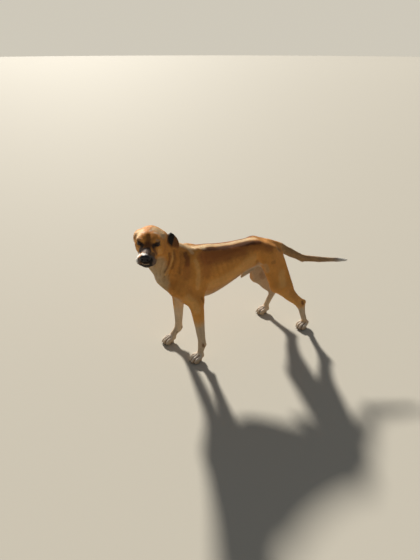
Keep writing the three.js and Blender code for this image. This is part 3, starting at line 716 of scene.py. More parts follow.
bodyMarks = [
    # the back, the flank and the belly
    mark("bright", 32, 0.55, (68, -200, 415), (72, -112, 440), (66, -40, 470), (60, 30, 490), both=True),
    mark("russet", 38, 0.8, (50, -236, 565), (52, -182, 555), (50, -124, 555), (42, -36, 556), both=True),
    mark("russet", 22, 0.7, (36, 21, 560), (50, 85, 552), (58, 125, 535), both=True),
    # dark saddle hair on each side of the spine, with painted shade where the back turns away from the
    # light
    mark("saddleAndShade", 14, 0.85, *[(x - 5, y, z + 2) for x, y, z in saddlePath]),
    mark("saddleAndShade", 14, 0.85, *[(-x - 16, y, z - 5) for x, y, z in saddlePath]),
    mark("russet", 20, 0.7, (47, -234, 573), (50, -182, 565), (42, -124, 564), (33, -36, 562), both=True),
    # painted shade in the groove behind the shoulder blade
    mark("russet", 26, 0.5, (70, -238, 530), (74, -238, 490), both=True),
    # painted shade: a dark band just below the pale spine, where the back turns away from the light
    mark("backShade", 11, 0.45, (26, -230, 592), (18, -150, 576), (14, -77, 572), (15, 7, 572), (24, 50, 570)),
    # pale hair along the spine, made paler still as a painted highlight where the light grazes the back
    mark("sand", 22, 0.9, (0, -360, 655), (0, -290, 628), (0, -230, 604)),
    mark("sand", 14, 0.85, (-4, -230, 604), (-18, -100, 590), (-18, 40, 590), (-8, 75, 588)),
    mark("cream", 40, 0.85, (0, -420, 340), (0, -250, 312), (0, -100, 348), (0, 60, 420)),
    # the hind quarters and the tail's root
    # painted shade in the grooves of the hip and flank, in the next two marks
    mark("umber", 9, 0.4, (50, 60, 478), (54, 66, 450), both=True),
    mark("umber", 10, 0.4, (78, 137, 460), (76, 150, 462), both=True),
    mark("umber", 15, 0.5, (46, 186, 512), (36, 200, 500), both=True),
    mark("bright", 24, 0.7, (88, 200, 385), (98, 200, 335), both=True),
    # painted highlight: paler colour along the ridge of the hip
    mark("throat", 15, 0.4, (66, 100, 448), (70, 112, 420), both=True),
    mark("amber", 20, 0.5, (100, 262, 270), (104, 300, 215), both=True),
    mark("umber", 8, 0.85, (106, 338, 184), (107, 342, 170)),
    mark("umber", 8, 0.7, (-112, 276, 170)),
    # painted shade: the far hind leg greyer and darker, as shaded by the body, in the next two marks
    mark("greige", 60, 0.75, (-60, 150, 340), (-88, 210, 235), (-108, 262, 160)),
    mark("umber", 14, 0.4, (-60, 165, 322), (-72, 185, 290)),
    mark("greige", 20, 0.7, (0, 10, 405), (0, 60, 425)),
    # the shoulder and the forelegs
    # painted shade in the groove behind the shoulder, in the next two marks
    mark("saddleAndShade", 14, 0.8, (45, -332, 596), (50, -322, 580), (56, -328, 552), both=True),
    mark("russet", 20, 0.5, (60, -330, 540), (66, -340, 500), both=True),
    mark("sand", 8, 0.6, (20, -302, 608), (28, -298, 602), (36, -294, 595), both=True),
    # painted highlight along the ridge of the shoulder blade
    mark("bright", 11, 0.7, (56, -285, 555), (70, -278, 505), (78, -286, 420), both=True),
    mark("bright", 20, 0.6, (94, -350, 395), (98, -320, 360), (103, -300, 310), both=True),
    # painted shade in the crease at the elbow
    mark("umber", 7, 0.4, (95, -268, 372), (100, -260, 345), both=True),
    # the neck and the throat
    mark("throat", 30, 0.75, (36, -458, 590), (36, -450, 545), (34, -446, 490), (30, -440, 440)),
    mark("cream", 30, 0.85, (16, -500, 590), (8, -488, 530), (0, -476, 470)),
    mark("throat", 34, 0.6, (26, -446, 450), (0, -455, 430), (-20, -425, 400)),
    # painted shade in the grooves of the neck's folds, with a painted highlight on the ridge between them,
    # in the next four marks
    mark("umber", 7, 0.6, (48, -408, 622), (49, -406, 600), (47, -414, 560), (42, -432, 525)),
    mark("bright", 5, 0.7, (50, -393, 622), (50, -396, 590), (49, -410, 555), (46, -432, 510)),
    mark("umber", 8, 0.5, (48, -379, 628), (50, -383, 585), (54, -398, 540)),
    mark("umber", 10, 0.4, (46, -349, 610), (54, -354, 565), (62, -368, 520)),
    # painted shadow of the left ear on the neck
    mark("mask", 8, 0.9, (48, -418, 655), (48, -409, 624)),
    # the carpal pads
    mark("umber", 7, 0.8, (100, -274, 100), (100, -273, 90)),
    mark("umber", 7, 0.8, (-94, -306, 92), (-94, -305, 84)),
]
# painted shade: dark umber in the grooves between the toes
bodyMarks += [mark("umber", 3.2, 0.65, *path) for path in toeGrooves]
faceMarks = [
    # the forehead
    mark("amber", 22, 0.4, (-14, 40, 42), (0, 56, 50), (14, 48, 46)),
    mark("sand", 17, 0.9, (-40, 50, 34), (-58, 46, 22), (-48, 20, 26)),
    mark("sand", 16, 0.8, (20, 60, 48), (44, 60, 36), (56, 44, 26)),
    mark("cream", 7, 0.85, (24, 32, 36), (34, 36, 36), both=True),
    mark("cream", 5, 0.7, (0, 40, 44), (8, 48, 46)),
    # painted shade along the furrow of the forehead
    mark("umber", 9, 0.6, (0, -20, 8), (0, 0, 20), (-2, 17, 30)),
    mark("umber", 9, 0.2, (-20, 2, 24), (20, 2, 24)),
    mark("greige", 5, 0.6, (36, -4, 21), (44, -2, 20), both=True),
    # the bridge of the nose and the muzzle
    mark("umber", 19, 0.9, (0, -20, 4), (0, -44, -2)),
    mark("smoke", 13, 0.9, (-26, -41, -14), (-12, -50, -2), (-10, -62, -3)),
    mark("mask", 12, 0.97, (6, -45, 0), (12, -56, -3), (6, -76, -2), (16, -80, -8)),
    mark("umber", 10, 0.8, (20, -14, -4), (27, -29, -12), (36, -33, -24), both=True),
    mark("mask", 10, 0.75, (24, -70, -16), (26, -52, -22)),
    mark("smoke", 14, 0.85, (-30, -26, -16), (-34, -44, -26), (-36, -60, -34)),
    mark("smoke", 11, 0.8, (30, -80, -24), (37, -76, -42), (38, -60, -50)),
    # the dark rims of the eyes, widened with painted shade in the eye sockets
    mark("lip", 9, 0.9, (26, -14, 2), (37, -9, 7), (48, -2, 6), both=True),
    mark("lip", 4, 0.8, (22, -16, 1), (19, -22, -6), both=True),
    mark("mask", 9, 0.7, (24, -18, -2), (36, -10, 0), (48, -2, 0), both=True),
    # the cheeks and the throat
    mark("amber", 16, 0.4, (66, 44, 10), (68, 44, -30), (60, 44, -60), both=True),
    mark("bright", 13, 0.6, (44, 0, -30), (44, 20, -55), both=True),
    mark("throat", 26, 0.6, (36, 36, -110), (42, 42, -140), (30, 42, -165), both=True),
    # the white of the muzzle, the lips and the chin
    mark("smoke", 11, 0.95, (-22, -92, -24), (-28, -92, -34), (-29, -90, -48)),
    mark("smoke", 11, 0.85, (27, -86, -20), (29, -90, -34), (30, -90, -50)),
    mark("lip", 12, 0.97, (-12, -99, -34), (4, -101, -40), (18, -97, -36), (22, -92, -26)),
    mark("lip", 12, 0.97, (-18, -92, -52), (0, -95, -54), (20, -92, -52)),
    mark("lip", 13, 0.97, (-26, -80, -60), (0, -88, -66), (26, -80, -62), (34, -64, -58)),
    mark("white", 5.5, 1, (3, -88, -4), (-8, -83, -3), (-18, -73, -8), (-33, -68, -20)),
    mark("white", 11, 1, (-33, -69, -20), (-38, -73, -30), (-38, -83, -38), (-37, -85, -48)),
    mark("lip", 4.5, 0.95, *mouthPath, both=True),
    # painted highlight: a thin pale line along the edge of the upper lip
    mark("greige", 2, 0.95, (-13, -98, -39), (-4, -100, -44), (6, -100, -44), (16, -97, -42)),
    # painted shade: a dark patch under the right ear
    mark("lip", 5, 0.7, (-75, 62, -24)),
]


def ripple(points, scale, seed):
    shift = Vector((seed, seed * 2, seed * 3))
    return np.array([noise.noise(Vector(point) * scale + shift) for point in points])


def paint(colours, points, marks, wobble, chosen):
    for patch in marks:
        target = np.array(coatColours[patch["colour"]])
        size = patch["size"]
        for side in (1, -1) if patch["both"] else (1,):
            corners = [np.array((x * side, y, z), float) for x, y, z in patch["path"]]
            path = snapPath(points, corners, max(4, size / 2), size + 14)
            gap = gapToPath(points, path) * (1 + 0.3 * wobble)
            weight = (1 - ramp(gap, 0.5 * size, 1.4 * size)) * patch["share"] * chosen
            colours += weight[:, None] * (target - colours)


# where the broad markings begin and end, in mm up from the floor, or back along the body for the tail
broadMarks = {
    "brightLeg": (180, 360),
    "paleForeleg": (190, 262),
    "paleHindleg": (120, 175),
    "lowPawDarker": (6, 22),
    "paleTail": (300, 560),
    "whiteTail": (500, 560),
    "sole": 5,
    "earEdge": (101, 106),  # across the head
}


def markCoat(skin):
    points = readPoints(skin.data)
    normals = readNormals(skin.data)
    row = points / mm
    head = toHead(points)
    broad = ripple(points, 22, 3.1)
    fine = ripple(points, 90, 7.7)
    wobble = broad * 0.7 + fine * 0.5
    colours = np.zeros_like(points) + np.array(coatColours["gold"])

    def blend(name, weight):
        colours[:] += np.clip(weight, 0, 1)[:, None] * (np.array(coatColours[name]) - colours)

    under = ramp(-normals[:, 2], 0.25, 0.85)
    blend("cream", under * (shareOf("trunk", "neck") * 0.85))
    legs = shareOf("foreleg", "hindleg", "paw")
    height = row[:, 2] + 26 * wobble
    blend("bright", legs * (1 - ramp(height, *broadMarks["brightLeg"])) * 0.5)
    blend("paleLeg", shareOf("foreleg", "paw") * (1 - ramp(height, *broadMarks["paleForeleg"])) * 0.92)
    blend("paleLeg", shareOf("hindleg") * (1 - ramp(height, *broadMarks["paleHindleg"])) * 0.95)
    # white toes, whiter on the faces turned upwards as painted light
    blend("white", shareOf("paw") * ramp(normals[:, 2], 0.1, 0.9) * 0.5)
    # greige on the lowest part of the paws, darker towards the floor
    blend("greige", shareOf("paw") * (1 - ramp(row[:, 2], *broadMarks["lowPawDarker"])) * 0.7)
    inner = ramp(-normals[:, 0] * np.sign(row[:, 0]), 0.2, 0.8)
    blend("cream", legs * inner * 0.6)
    paint(colours, row, bodyMarks, wobble, 1 - shareOf("head", "jaw", "ear"))

    along = ramp(row[:, 1], *broadMarks["paleTail"])
    blend("throat", shareOf("tail") * (1 - along) * 0.7)
    blend("cream", shareOf("tail") * (along * 0.8 + under * 0.2))
    blend("white", shareOf("tail") * ramp(row[:, 1] + 14 * wobble, *broadMarks["whiteTail"]))

    paint(colours, head, faceMarks, wobble, shareOf("head", "jaw", "neck"))
    left = shareOf("ear") * (head[:, 0] > 0)
    right = shareOf("ear") * (head[:, 0] < 0)
    # the two ears painted as shaded and lit copies: the left one dark umber as shaded, the right one pale
    # sand as lit
    blend("umber", left * 0.9)
    strip = head[:, 0] - 0.24 * head[:, 2] + 3 * wobble  # the left ear is black towards the head: black hair with painted shade in the ear's hollow
    blend("black", left * (1 - ramp(strip, *broadMarks["earEdge"])))
    # painted light: the right ear pale sand, as lit
    blend("sand", right * 0.9)
    rim = np.zeros(len(points))
    for side in (1, -1):
        gap, radius, *_ = lidGaps(head, side)
        rim = np.maximum(rim, np.exp(-((np.maximum(gap, 0) / 10) ** 2)) * (radius < 19))
    blend("lip", rim * 0.95)
    blend("pad", ramp(-normals[:, 2], 0.5, 0.8) * (row[:, 2] < broadMarks["sole"]))
    colours *= (1 + 0.10 * broad + 0.10 * fine)[:, None]
    return np.clip(colours, 0.004, 1)


skinColours = markCoat(skin)
skinNormals = readNormals(skin.data)
skinLie = layCoat(readPoints(skin.data), skinNormals)
storeColours(skin.data, "coatColour", skinColours)
storeNumbers(skin.data, "limb", shareOf("foreleg", "hindleg", "paw", "ear"))
storeNumbers(skin.data, "face", shareOf("head", "jaw"))
print("markings done")


# Materials

class Finish:
    # a small helper for node materials
    def __init__(self, name):
        self.material = bpy.data.materials.new(name)
        self.material.use_nodes = True
        self.nodes = self.material.node_tree.nodes
        self.links = self.material.node_tree.links
        self.shader = self.nodes["Principled BSDF"]

    def fill(self, sockets, values):
        for name, value in values.items():
            if isinstance(value, bpy.types.NodeSocket):
                self.links.new(value, sockets[name])
            else:
                sockets[name].default_value = value

    def add(self, kind, inputs=None, **settings):
        node = self.nodes.new("ShaderNode" + kind)
        for name, value in settings.items():
            setattr(node, name, value)
        self.fill(node.inputs, inputs or {})
        return node

    def set(self, **values):
        self.fill(self.shader.inputs, {name.replace("_", " "): value for name, value in values.items()})

    def noise(self, coords, scale, detail=3):
        return self.add("TexNoise", {"Vector": coords, "Scale": scale, "Detail": detail}).outputs["Fac"]

    def math(self, operation, first, second):
        return self.add("Math", {0: first, 1: second}, operation=operation).outputs["Value"]

    def between(self, share, first, second):
        return self.add("Mix", {0: share, 2: first, 3: second}, data_type="FLOAT").outputs[0]

    def twoTone(self, share, dark, light):
        node = self.add("ValToRGB", {"Fac": share})
        node.color_ramp.elements[0].color = dark
        node.color_ramp.elements[1].color = light
        return node.outputs["Color"]

    def tinted(self, colour, amount):
        # the colour made lighter and darker by a value that runs round one
        return self.add("VectorMath", {0: colour, 1: amount}, operation="MULTIPLY").outputs["Vector"]

    def bump(self, height, strength, distance):
        inputs = {"Height": height, "Strength": strength, "Distance": distance}
        self.set(Normal=self.add("Bump", inputs).outputs["Normal"])


hairFacts = {
    "width": 0.9 * mm,
    "length": 13 * mm,
    "faceLength": 7 * mm,
    "depth": 0.7 * mm,
    # degrees from level on the trunk, and from upright on the limbs
    "trunkSlope": -16,
    "limbSlope": -14,
    # how much hairs and clumps lighten and darken the colour
    "hairs": 0.36,
    "clumps": 0.2,
    "base": 0.72,
    "sheen": 0.06,
    "sheenTint": (1, 0.86, 0.66, 1),
}


def coatMaterial(name, fine):
    finish = Finish(name)
    place = finish.add("TexCoord").outputs["Object"]

    def streaks(**mapping):
        # noise that the mapping draws out along the hair
        node = finish.add("Mapping", {"Vector": place, **mapping}, vector_type="TEXTURE")
        return finish.noise(node.outputs["Vector"], 1)

    width, length, faceLength = hairFacts["width"], hairFacts["length"], hairFacts["faceLength"]
    trunkTurn = (math.radians(hairFacts["trunkSlope"]), 0, 0)
    limbTurn = (math.radians(hairFacts["limbSlope"]), 0, 0)
    faceTurn = headFrame.to_euler()
    trunkHair = streaks(Rotation=trunkTurn, Scale=(width, length, width))
    limbHair = streaks(Rotation=limbTurn, Scale=(width, width, length))
    faceHair = streaks(Location=headFrame.translation, Rotation=faceTurn, Scale=(width, faceLength, width))
    onLimb = finish.add("Attribute", attribute_name="limb").outputs["Fac"]
    onFace = finish.add("Attribute", attribute_name="face").outputs["Fac"]
    hair = finish.between(onFace, finish.between(onLimb, trunkHair, limbHair), faceHair)
    clumps = finish.math("MULTIPLY", finish.noise(place, 120, 2), hairFacts["clumps"])
    amount = finish.math("ADD", finish.math("MULTIPLY", hair, hairFacts["hairs"]), clumps)
    amount = finish.math("ADD", amount, hairFacts["base"])
    colour = finish.add("Attribute", attribute_name="coatColour").outputs["Color"]
    finish.set(Base_Color=finish.tinted(colour, amount), Roughness=finish.between(hair, 0.78, 0.55))
    finish.set(Sheen_Weight=hairFacts["sheen"], Sheen_Roughness=0.45, Sheen_Tint=hairFacts["sheenTint"])
    finish.set(Specular_IOR_Level=0.2)
    if fine:
        finish.bump(hair, 0.8, hairFacts["depth"])
    return finish.material


skin.data.materials.append(coatMaterial("shortCoat", True))


def hornMaterial():
    finish = Finish("clawHorn")
    place = finish.add("TexCoord").outputs["Object"]
    grain = finish.noise(place, 900, 3)
    colour = finish.twoTone(grain, (0.035, 0.024, 0.018, 1), (0.16, 0.12, 0.085, 1))
    finish.set(Base_Color=colour, Roughness=finish.between(grain, 0.3, 0.5), Coat_Weight=0.2)
    finish.bump(grain, 0.3, 0.2 * mm)
    return finish.material


def noseMaterial():
    finish = Finish("noseLeather")
    place = finish.add("TexCoord").outputs["Object"]
    cells = finish.add("TexVoronoi", {"Vector": place, "Scale": 900}, feature="F1")
    grain = finish.noise(place, 300, 2)
    colour = finish.twoTone(grain, (0.003, 0.0025, 0.003, 1), (0.010, 0.008, 0.009, 1))
    finish.set(Base_Color=colour, Roughness=finish.between(grain, 0.35, 0.5), Specular_IOR_Level=0.3)
    finish.set(Coat_Weight=0.08, Coat_Roughness=0.25)
    finish.bump(cells.outputs["Distance"], 0.45, 0.35 * mm)
    return finish.material


# the tones of the eye from the pupil outwards, and where each begins, as a share of a right angle
eyeTones = [
    (0.0, (0.002, 0.002, 0.002, 1)),
    (0.19, (0.002, 0.002, 0.002, 1)),
    (0.23, (0.05, 0.018, 0.006, 1)),
    (0.46, (0.028, 0.011, 0.004, 1)),
    (0.52, (0.008, 0.005, 0.004, 1)),
    (0.62, (0.16, 0.09, 0.07, 1)),
    (1.0, (0.20, 0.12, 0.09, 1)),
]


def eyeMaterial():
    finish = Finish("darkEye")
    gaze = finish.add("Attribute", attribute_name="fromGaze").outputs["Fac"]
    colour = finish.add("ValToRGB", {"Fac": gaze})
    stops = colour.color_ramp.elements
    stops[0].color = eyeTones[0][1]
    stops[1].color = eyeTones[-1][1]
    for at, tone in eyeTones[1:-1]:
        stops.new(at).color = tone
    place = finish.add("TexCoord").outputs["Object"]
    flecks = finish.math("ADD", finish.math("MULTIPLY", finish.noise(place, 700, 3), 0.5), 0.75)
    finish.set(Base_Color=finish.tinted(colour.outputs["Color"], flecks), Roughness=0.25)
    finish.set(Specular_IOR_Level=0.2, Coat_Weight=0.15, Coat_Roughness=0.04)
    return finish.material


# Eyes

def buildEye(name):
    side = sides[name]
    centre = inHead(*(np.array(eyeFacts["place"]) * (side, 1, 1)))
    radius = eyeFacts["radius"] * mm
    bpy.ops.mesh.primitive_uv_sphere_add(segments=64, ring_count=40, radius=radius, location=centre)
    eye = bpy.context.object
    eye.name = "eyeball_" + name
    gaze = headWay(*(np.array(eyeFacts["gaze"]) * (side, 1, 1)))
    eye.rotation_euler = gaze.to_track_quat("Z", "Y").to_euler()
    bpy.ops.object.transform_apply(location=True, rotation=True, scale=True)
    points = readPoints(eye.data)
    way = unit(points - np.array(centre))
    angle = np.degrees(np.arccos(np.clip(way @ np.array(gaze), -1, 1)))
    bulge = eyeFacts["bulge"] * mm * np.exp(-((angle / 24) ** 2))
    writePoints(eye.data, points + way * bulge[:, None])
    storeNumbers(eye.data, "fromGaze", angle / 90)
    bpy.ops.object.shade_smooth()
    eye.data.materials.append(eyeMat)
    finishPiece(eye, "eye", "eye_" + name)


eyeMat = eyeMaterial()
for name in sides:
    buildEye(name)
print("eyes done")


# Nose leather

def buildNose():
    bpy.ops.mesh.primitive_uv_sphere_add(segments=96, ring_count=64, radius=1)
    nose = bpy.context.object
    nose.name = "noseLeather"
    points = readPoints(nose.data)[:, [0, 2, 1]] * (1, -1, 1)  # the poles lie front and back
    half = np.array(noseFacts["half"])
    x, y, z = (points * half).T
    front = ramp(-y, 2, 12)
    y = np.maximum(y, -half[1] + noseFacts["flat"] + 0.02 * x**2 * 0.35)
    x = x * (1 - noseFacts["narrow"] * ramp(-z, 2, 14))
    across, up = noseFacts["nostril"]
    wide, high = noseFacts["nostrilHalf"]
    for side in (1, -1):
        hole = np.exp(-((((x - side * across) / wide) ** 2) + ((z - up) / high) ** 2))
        ends = [np.array((side * out, up + rise), float) for out, rise in noseFacts["slit"]]
        slit = np.exp(-((gapToPath(np.stack([x, z], 1), ends) / 1.5) ** 2))
        wing = np.exp(-((((x - side * (across + 3)) / 7) ** 2) + ((z - up - 4) / 6) ** 2))
        dent = noseFacts["slitDepth"] * slit * (1 - hole) - noseFacts["wing"] * wing * (1 - hole)
        y = y + front * (noseFacts["nostrilDepth"] * hole + dent)
    y = y + front * noseFacts["groove"] * np.exp(-((x / 1.3) ** 2)) * ramp(-z, -9, -2)
    y = y + 2.0 * ramp(-z, 8, 16) * front
    writePoints(nose.data, fromHead(np.stack([x, y, z], 1) + np.array(noseFacts["place"])))
    editAll(bpy.ops.mesh.normals_make_consistent, inside=False)
    bpy.ops.object.shade_smooth()
    nose.data.materials.append(noseMaterial())
    finishPiece(nose, "nose", "nose")


buildNose()
print("nose done")


# Claws: one is modelled along +Z and copied to each toe

clawFacts = {"radius": 4.032 * mm, "dewShare": 0.8, "long": 1.08, "hook": 0.66, "floorGap": 0.3 * mm}


def buildClaw():
    bpy.ops.mesh.primitive_cylinder_add(vertices=14, radius=1, depth=1, location=(0, 0, 0.5))
    claw = bpy.context.object
    bpy.ops.object.transform_apply(location=True, rotation=True, scale=True)
    editAll(bpy.ops.mesh.subdivide, number_cuts=5, quadcorner="INNERVERT")
    points = readPoints(claw.data)
    height = points[:, 2]
    points[:, :2] *= ((1 - 0.92 * height**1.7) * 0.8)[:, None]
    points[:, 1] -= clawFacts["hook"] * height**2.2
    writePoints(claw.data, points)
    bpy.ops.object.shade_smooth()
    return claw


def clawEnds(name):
    # the tip of the claw's solid, and the middle of its rear
    points = np.array([v.co for v in frame["nodes"][name].data.vertices])
    if name.startswith("dewclaw"):
        fromPaw = -points[:, 2]
    else:
        _, end, side, _ = name.split("_")
        paw = np.array(centreOf(f"{end}paw_{side}"))
        fromPaw = np.linalg.norm((points - paw)[:, :2], axis=1)
    tip = points[np.argmax(fromPaw)]
    fromTip = np.linalg.norm(points - tip, axis=1)
    return tip, points[fromTip > 0.8 * fromTip.max()].mean(0)


def placeClaws():
    pattern = buildClaw()
    horn = hornMaterial()
    for name in sorted(name for name in frame["nodes"] if "claw" in name):
        tip, rear = clawEnds(name)
        length = np.linalg.norm(tip - rear) * clawFacts["long"]
        forward = Vector(tip - rear).normalized()
        sideways = forward.cross(Vector((0, 0, 1))).normalized()
        upward = sideways.cross(forward)
        radius = clawFacts["radius"] * (clawFacts["dewShare"] if name.startswith("dewclaw") else 1)
        turn = np.array([sideways * radius, upward * radius, forward * length])
        claw = pattern.copy()
        claw.data = pattern.data.copy()
        claw.name = "horn_" + name
        bpy.context.collection.objects.link(claw)
        placed = readPoints(pattern.data) @ turn + rear
        placed[:, 2] = np.maximum(placed[:, 2], clawFacts["floorGap"])
        writePoints(claw.data, placed)
        claw.data.materials.append(horn)
        finishPiece(claw, "claw", name)
    bpy.data.objects.remove(pattern)


placeClaws()
print("claws done")


# The coat's tufts: closed spikes lying along the skin

coatPieces = {
    # the solids that each piece covers, and how many tufts it has
    "coatHead": (["head", "lower_jaw", "ear_left", "ear_right"], 26000),
    "coatNeck": (["neck"], 20000),
    "coatTrunk": (["trunk"], 40000),
    "coatLegs": (legNodes, 40000),
    "coatTail": (["tail"], 9000),
}
tuftSizes = {
    # the length, the width and the rise of the tip, in mm
    "head": (4, 0.5, 0.35),
    "jaw": (4, 0.5, 0.35),
    "ear": (4.5, 0.5, 0.35),
    "neck": (8, 0.65, 0.8),
    "trunk": (7.5, 0.65, 0.6),
    "foreleg": (6, 0.6, 0.45),
    "hindleg": (6.5, 0.6, 0.55),
    "paw": (3.5, 0.5, 0.25),
    "tail": (11, 0.75, 1.8),
}
tuftFacts = {
    "longer": 6,  # mm more behind the thigh and under the tail
    "swing": 9,  # degrees to either side of the lie of the coat
    "lengths": (0.75, 1.2),
    "rises": (0.5, 1.1),
    "tones": (0.93, 1.08),
    "cornerTones": (0.95, 0.95, 1.0, 1.06),
    "sunk": 0.3,  # mm
    "back": (0.3, 0.6, 0.4 * mm),  # share of the length, share of the rise, and height added
    "floorGap": 0.2 * mm,
}
tuftFaces = np.array([(0, 2, 1), (0, 3, 2), (1, 2, 3), (0, 1, 3)])


def trianglesOf(mesh, points):
    mesh.calc_loop_triangles()
    corners = np.empty(len(mesh.loop_triangles) * 3, np.int64)
    mesh.loop_triangles.foreach_get("vertices", corners)
    corners = corners.reshape(-1, 3)
    a, b, c = (points[corners[:, i]] for i in range(3))
    return corners, np.linalg.norm(np.cross(b - a, c - a), axis=1) / 2


def bareSkin(points):
    # no tufts grow under the paws, on the nose, on the lips or at the edges of the lids
    head = toHead(points)
    bare = (points[:, 2] < 3 * mm) | (mouthGap(head) < 2.5)
    bare |= np.linalg.norm(head - np.array(noseFacts["place"], float), axis=1) < 17
    return bare | nearLids(head, 19, 9)


def tuftShapes(points):
    lengthOf, widthOf, riseOf = np.array([tuftSizes[kind] for kind in kinds]).T
    behindThigh = shareOf("hindleg") * ramp(skinNormals[:, 1], 0.3, 0.8) * ramp(points[:, 2], 0.2, 0.3)
    underTail = shareOf("tail") * ramp(-skinNormals[:, 2], 0.2, 0.8)
    longer = tuftFacts["longer"]
    length = skinShare @ lengthOf + longer * behindThigh + longer * underTail
    return length, skinShare @ widthOf, skinShare @ riseOf


def pickRoots(count, chosen, corners, areas):
    share = np.where(chosen, areas, 0)
    picks = chance.choice(len(areas), count, p=share / share.sum())
    first, second = chance.random((2, count))
    flip = first + second > 1
    first[flip], second[flip] = 1 - first[flip], 1 - second[flip]
    return corners[picks], np.stack([1 - first - second, first, second], 1)


def growTufts(here, root, normal, shapes):
    # the four corners of each tuft: two at the root, one on its back and one at the tip
    count = len(root)
    lie = here(skinLie)
    lie = unit(lie - (lie * normal).sum(1)[:, None] * normal)
    swing = np.radians(chance.normal(0, tuftFacts["swing"], count))[:, None]
    lie = lie * np.cos(swing) + np.cross(normal, lie) * np.sin(swing)
    cross = np.cross(normal, lie)
    length, width, rise = (here(shape) for shape in shapes)
    length = (length * chance.uniform(*tuftFacts["lengths"], count) * mm)[:, None]
    width = (width * mm)[:, None]
    rise = (rise * chance.uniform(*tuftFacts["rises"], count) * mm)[:, None]
    sunk = root - normal * tuftFacts["sunk"] * mm
    alongBack, upBack, thick = tuftFacts["back"]
    back = sunk + lie * length * alongBack + normal * (rise * upBack + thick)
    tip = root + lie * length + normal * rise
    tufts = np.stack([sunk + cross * width / 2, sunk - cross * width / 2, back, tip], 1)
    tufts[:, :, 2] = np.maximum(tufts[:, :, 2], tuftFacts["floorGap"])
    return tufts


def tuftMesh(name, tufts):
    total = len(tufts)
    loops = (tuftFaces[None] + np.arange(total)[:, None, None] * 4).ravel()
    coat = bpy.data.meshes.new(name)
    coat.vertices.add(total * 4)
    coat.vertices.foreach_set("co", tufts.ravel())
    coat.loops.add(len(loops))
    coat.loops.foreach_set("vertex_index", loops.astype(np.int32))
    coat.polygons.add(total * 4)
    coat.polygons.foreach_set("loop_start", np.arange(0, total * 12, 3, dtype=np.int32))
    coat.update(calc_edges=True)
    return coat, loops


def unwrapTufts(coat, loops, root, normal, rank, solids):
    # one cell for each solid and each way that its skin faces
    every = np.arange(len(root))
    facing = np.argmax(np.abs(normal), axis=1)
    cell = rank * 6 + facing * 2 + (normal[every, facing] > 0)
    columns = math.ceil(math.sqrt(solids * 6))
    flat = np.stack([root[every, (facing + 1) % 3], root[every, (facing + 2) % 3]], 1)
    for number in np.unique(cell):
        own = cell == number
        flat[own] -= flat[own].min(0)
        flat[own] /= max(flat[own].max(), 1e-6)
    flat = (flat * 0.94 + 0.03 + np.stack([cell % columns, cell // columns], 1)) / columns
    patch = np.array([(0, 0), (0.003, 0), (0, 0.003), (0.003, 0.003)])
    where = flat[:, None] + patch[None]
    unwrap = coat.uv_layers.new(name="OFBake")
    unwrap.uv.foreach_set("vector", where.reshape(-1, 2)[loops].astype(np.float32).ravel())


def buildCoat(skin):
    points = readPoints(skin.data)
    corners, areas = trianglesOf(skin.data, points)
    bare = bareSkin(points)
    shapes = tuftShapes(points)
    limb = shareOf("foreleg", "hindleg", "paw", "ear")
    face = shareOf("head", "jaw")
    material = coatMaterial("coatTufts", False)
    for name, (nodes, count) in coatPieces.items():
        numbers = [fleshNodes.index(node) for node in nodes]
        mine = np.isin(skinWhich, numbers) & ~bare
        at, weights = pickRoots(count, mine[corners].all(1), corners, areas)

        def here(values):
            return np.einsum("ij,ij...->i...", weights, values[at])

        root = here(points)
        normal = unit(here(skinNormals))
        coat, loops = tuftMesh(name, growTufts(here, root, normal, shapes))
        tone = here(skinColours) * chance.uniform(*tuftFacts["tones"], count)[:, None]
        tones = tone[:, None] * np.array(tuftFacts["cornerTones"])[None, :, None]
        storeColours(coat, "coatColour", np.clip(tones, 0.003, 1).reshape(-1, 3))
        storeNumbers(coat, "limb", np.repeat(here(limb), 4))
        storeNumbers(coat, "face", np.repeat(here(face), 4))
        rank = np.array([numbers.index(number) for number in skinWhich[at[:, 0]]])
        unwrapTufts(coat, loops, root, normal, rank, len(numbers))
        coat.materials.append(material)
        piece = bpy.data.objects.new(name, coat)
        bpy.context.collection.objects.link(piece)
        finishPiece(piece, "coat")
        print(name, "done,", count, "tufts")


buildCoat(skin)


# Camera, light and floor

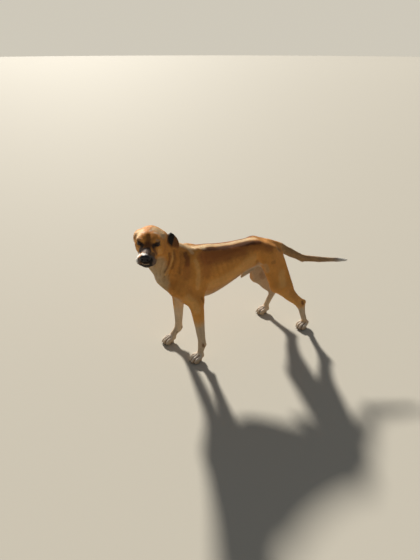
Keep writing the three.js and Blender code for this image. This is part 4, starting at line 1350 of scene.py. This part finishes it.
cameraFacts = {"place": (1.6464, -0.9994, 1.45), "down": 29.7, "turn": 63.6, "lens": 27.045}
bpy.ops.object.camera_add(location=cameraFacts["place"])
camera = bpy.context.object
camera.rotation_euler = (math.radians(90 - cameraFacts["down"]), 0, math.radians(cameraFacts["turn"]))
camera.data.lens = cameraFacts["lens"]
camera.data.sensor_width = 36
camera.data.clip_end = 200
bpy.context.scene.camera = camera

lightFacts = {
    "way": (0.862, -0.122, -0.492),
    "power": 6.6,
    "softness": 5,
    "tint": (1, 0.95, 0.86),
    "sky": (0.92, 0.96, 1, 1),
    "fill": 0.2,
}
bpy.ops.object.light_add(type="SUN", location=(-2, 0, 2))
key = bpy.context.object
key.rotation_euler = Vector(lightFacts["way"]).to_track_quat("-Z", "Y").to_euler()
key.data.energy = lightFacts["power"]
key.data.angle = math.radians(lightFacts["softness"])
key.data.color = lightFacts["tint"]
world = bpy.data.worlds.new("studio")
bpy.context.scene.world = world
world.use_nodes = True
sky = world.node_tree.nodes["Background"]
sky.inputs["Color"].default_value = lightFacts["sky"]
sky.inputs["Strength"].default_value = lightFacts["fill"]
bpy.context.scene.view_settings.view_transform = "Standard"

stageFacts = {
    "floorSize": 120,
    "floorColour": (0.475, 0.447, 0.385, 1),
    "wallRadius": 50,
    "wallHeight": 24,
    "wallMiddle": 11,
    "wallColour": (0.62, 0.58, 0.49, 1),
}
bpy.ops.mesh.primitive_plane_add(size=stageFacts["floorSize"])
floor = bpy.context.object
floor.name = "floor"
floorFinish = Finish("floor")
floorFinish.set(Base_Color=stageFacts["floorColour"], Roughness=0.9)
floor.data.materials.append(floorFinish.material)

# the backdrop glows evenly and sends no light to the dog
bpy.ops.mesh.primitive_cylinder_add(
    vertices=96,
    radius=stageFacts["wallRadius"],
    depth=stageFacts["wallHeight"],
    location=(0, 0, stageFacts["wallMiddle"]),
    end_fill_type="NOTHING",
)
backdrop = bpy.context.object
backdrop.name = "backdrop"
backdropFinish = Finish("backdrop")
backdropFinish.set(Base_Color=(0, 0, 0, 1), Specular_IOR_Level=0)
backdropFinish.set(Emission_Color=stageFacts["wallColour"], Emission_Strength=1)
backdrop.data.materials.append(backdropFinish.material)
backdrop.visible_shadow = False
backdrop.visible_diffuse = False

finishPiece(skin, "coat", *fleshNodes)

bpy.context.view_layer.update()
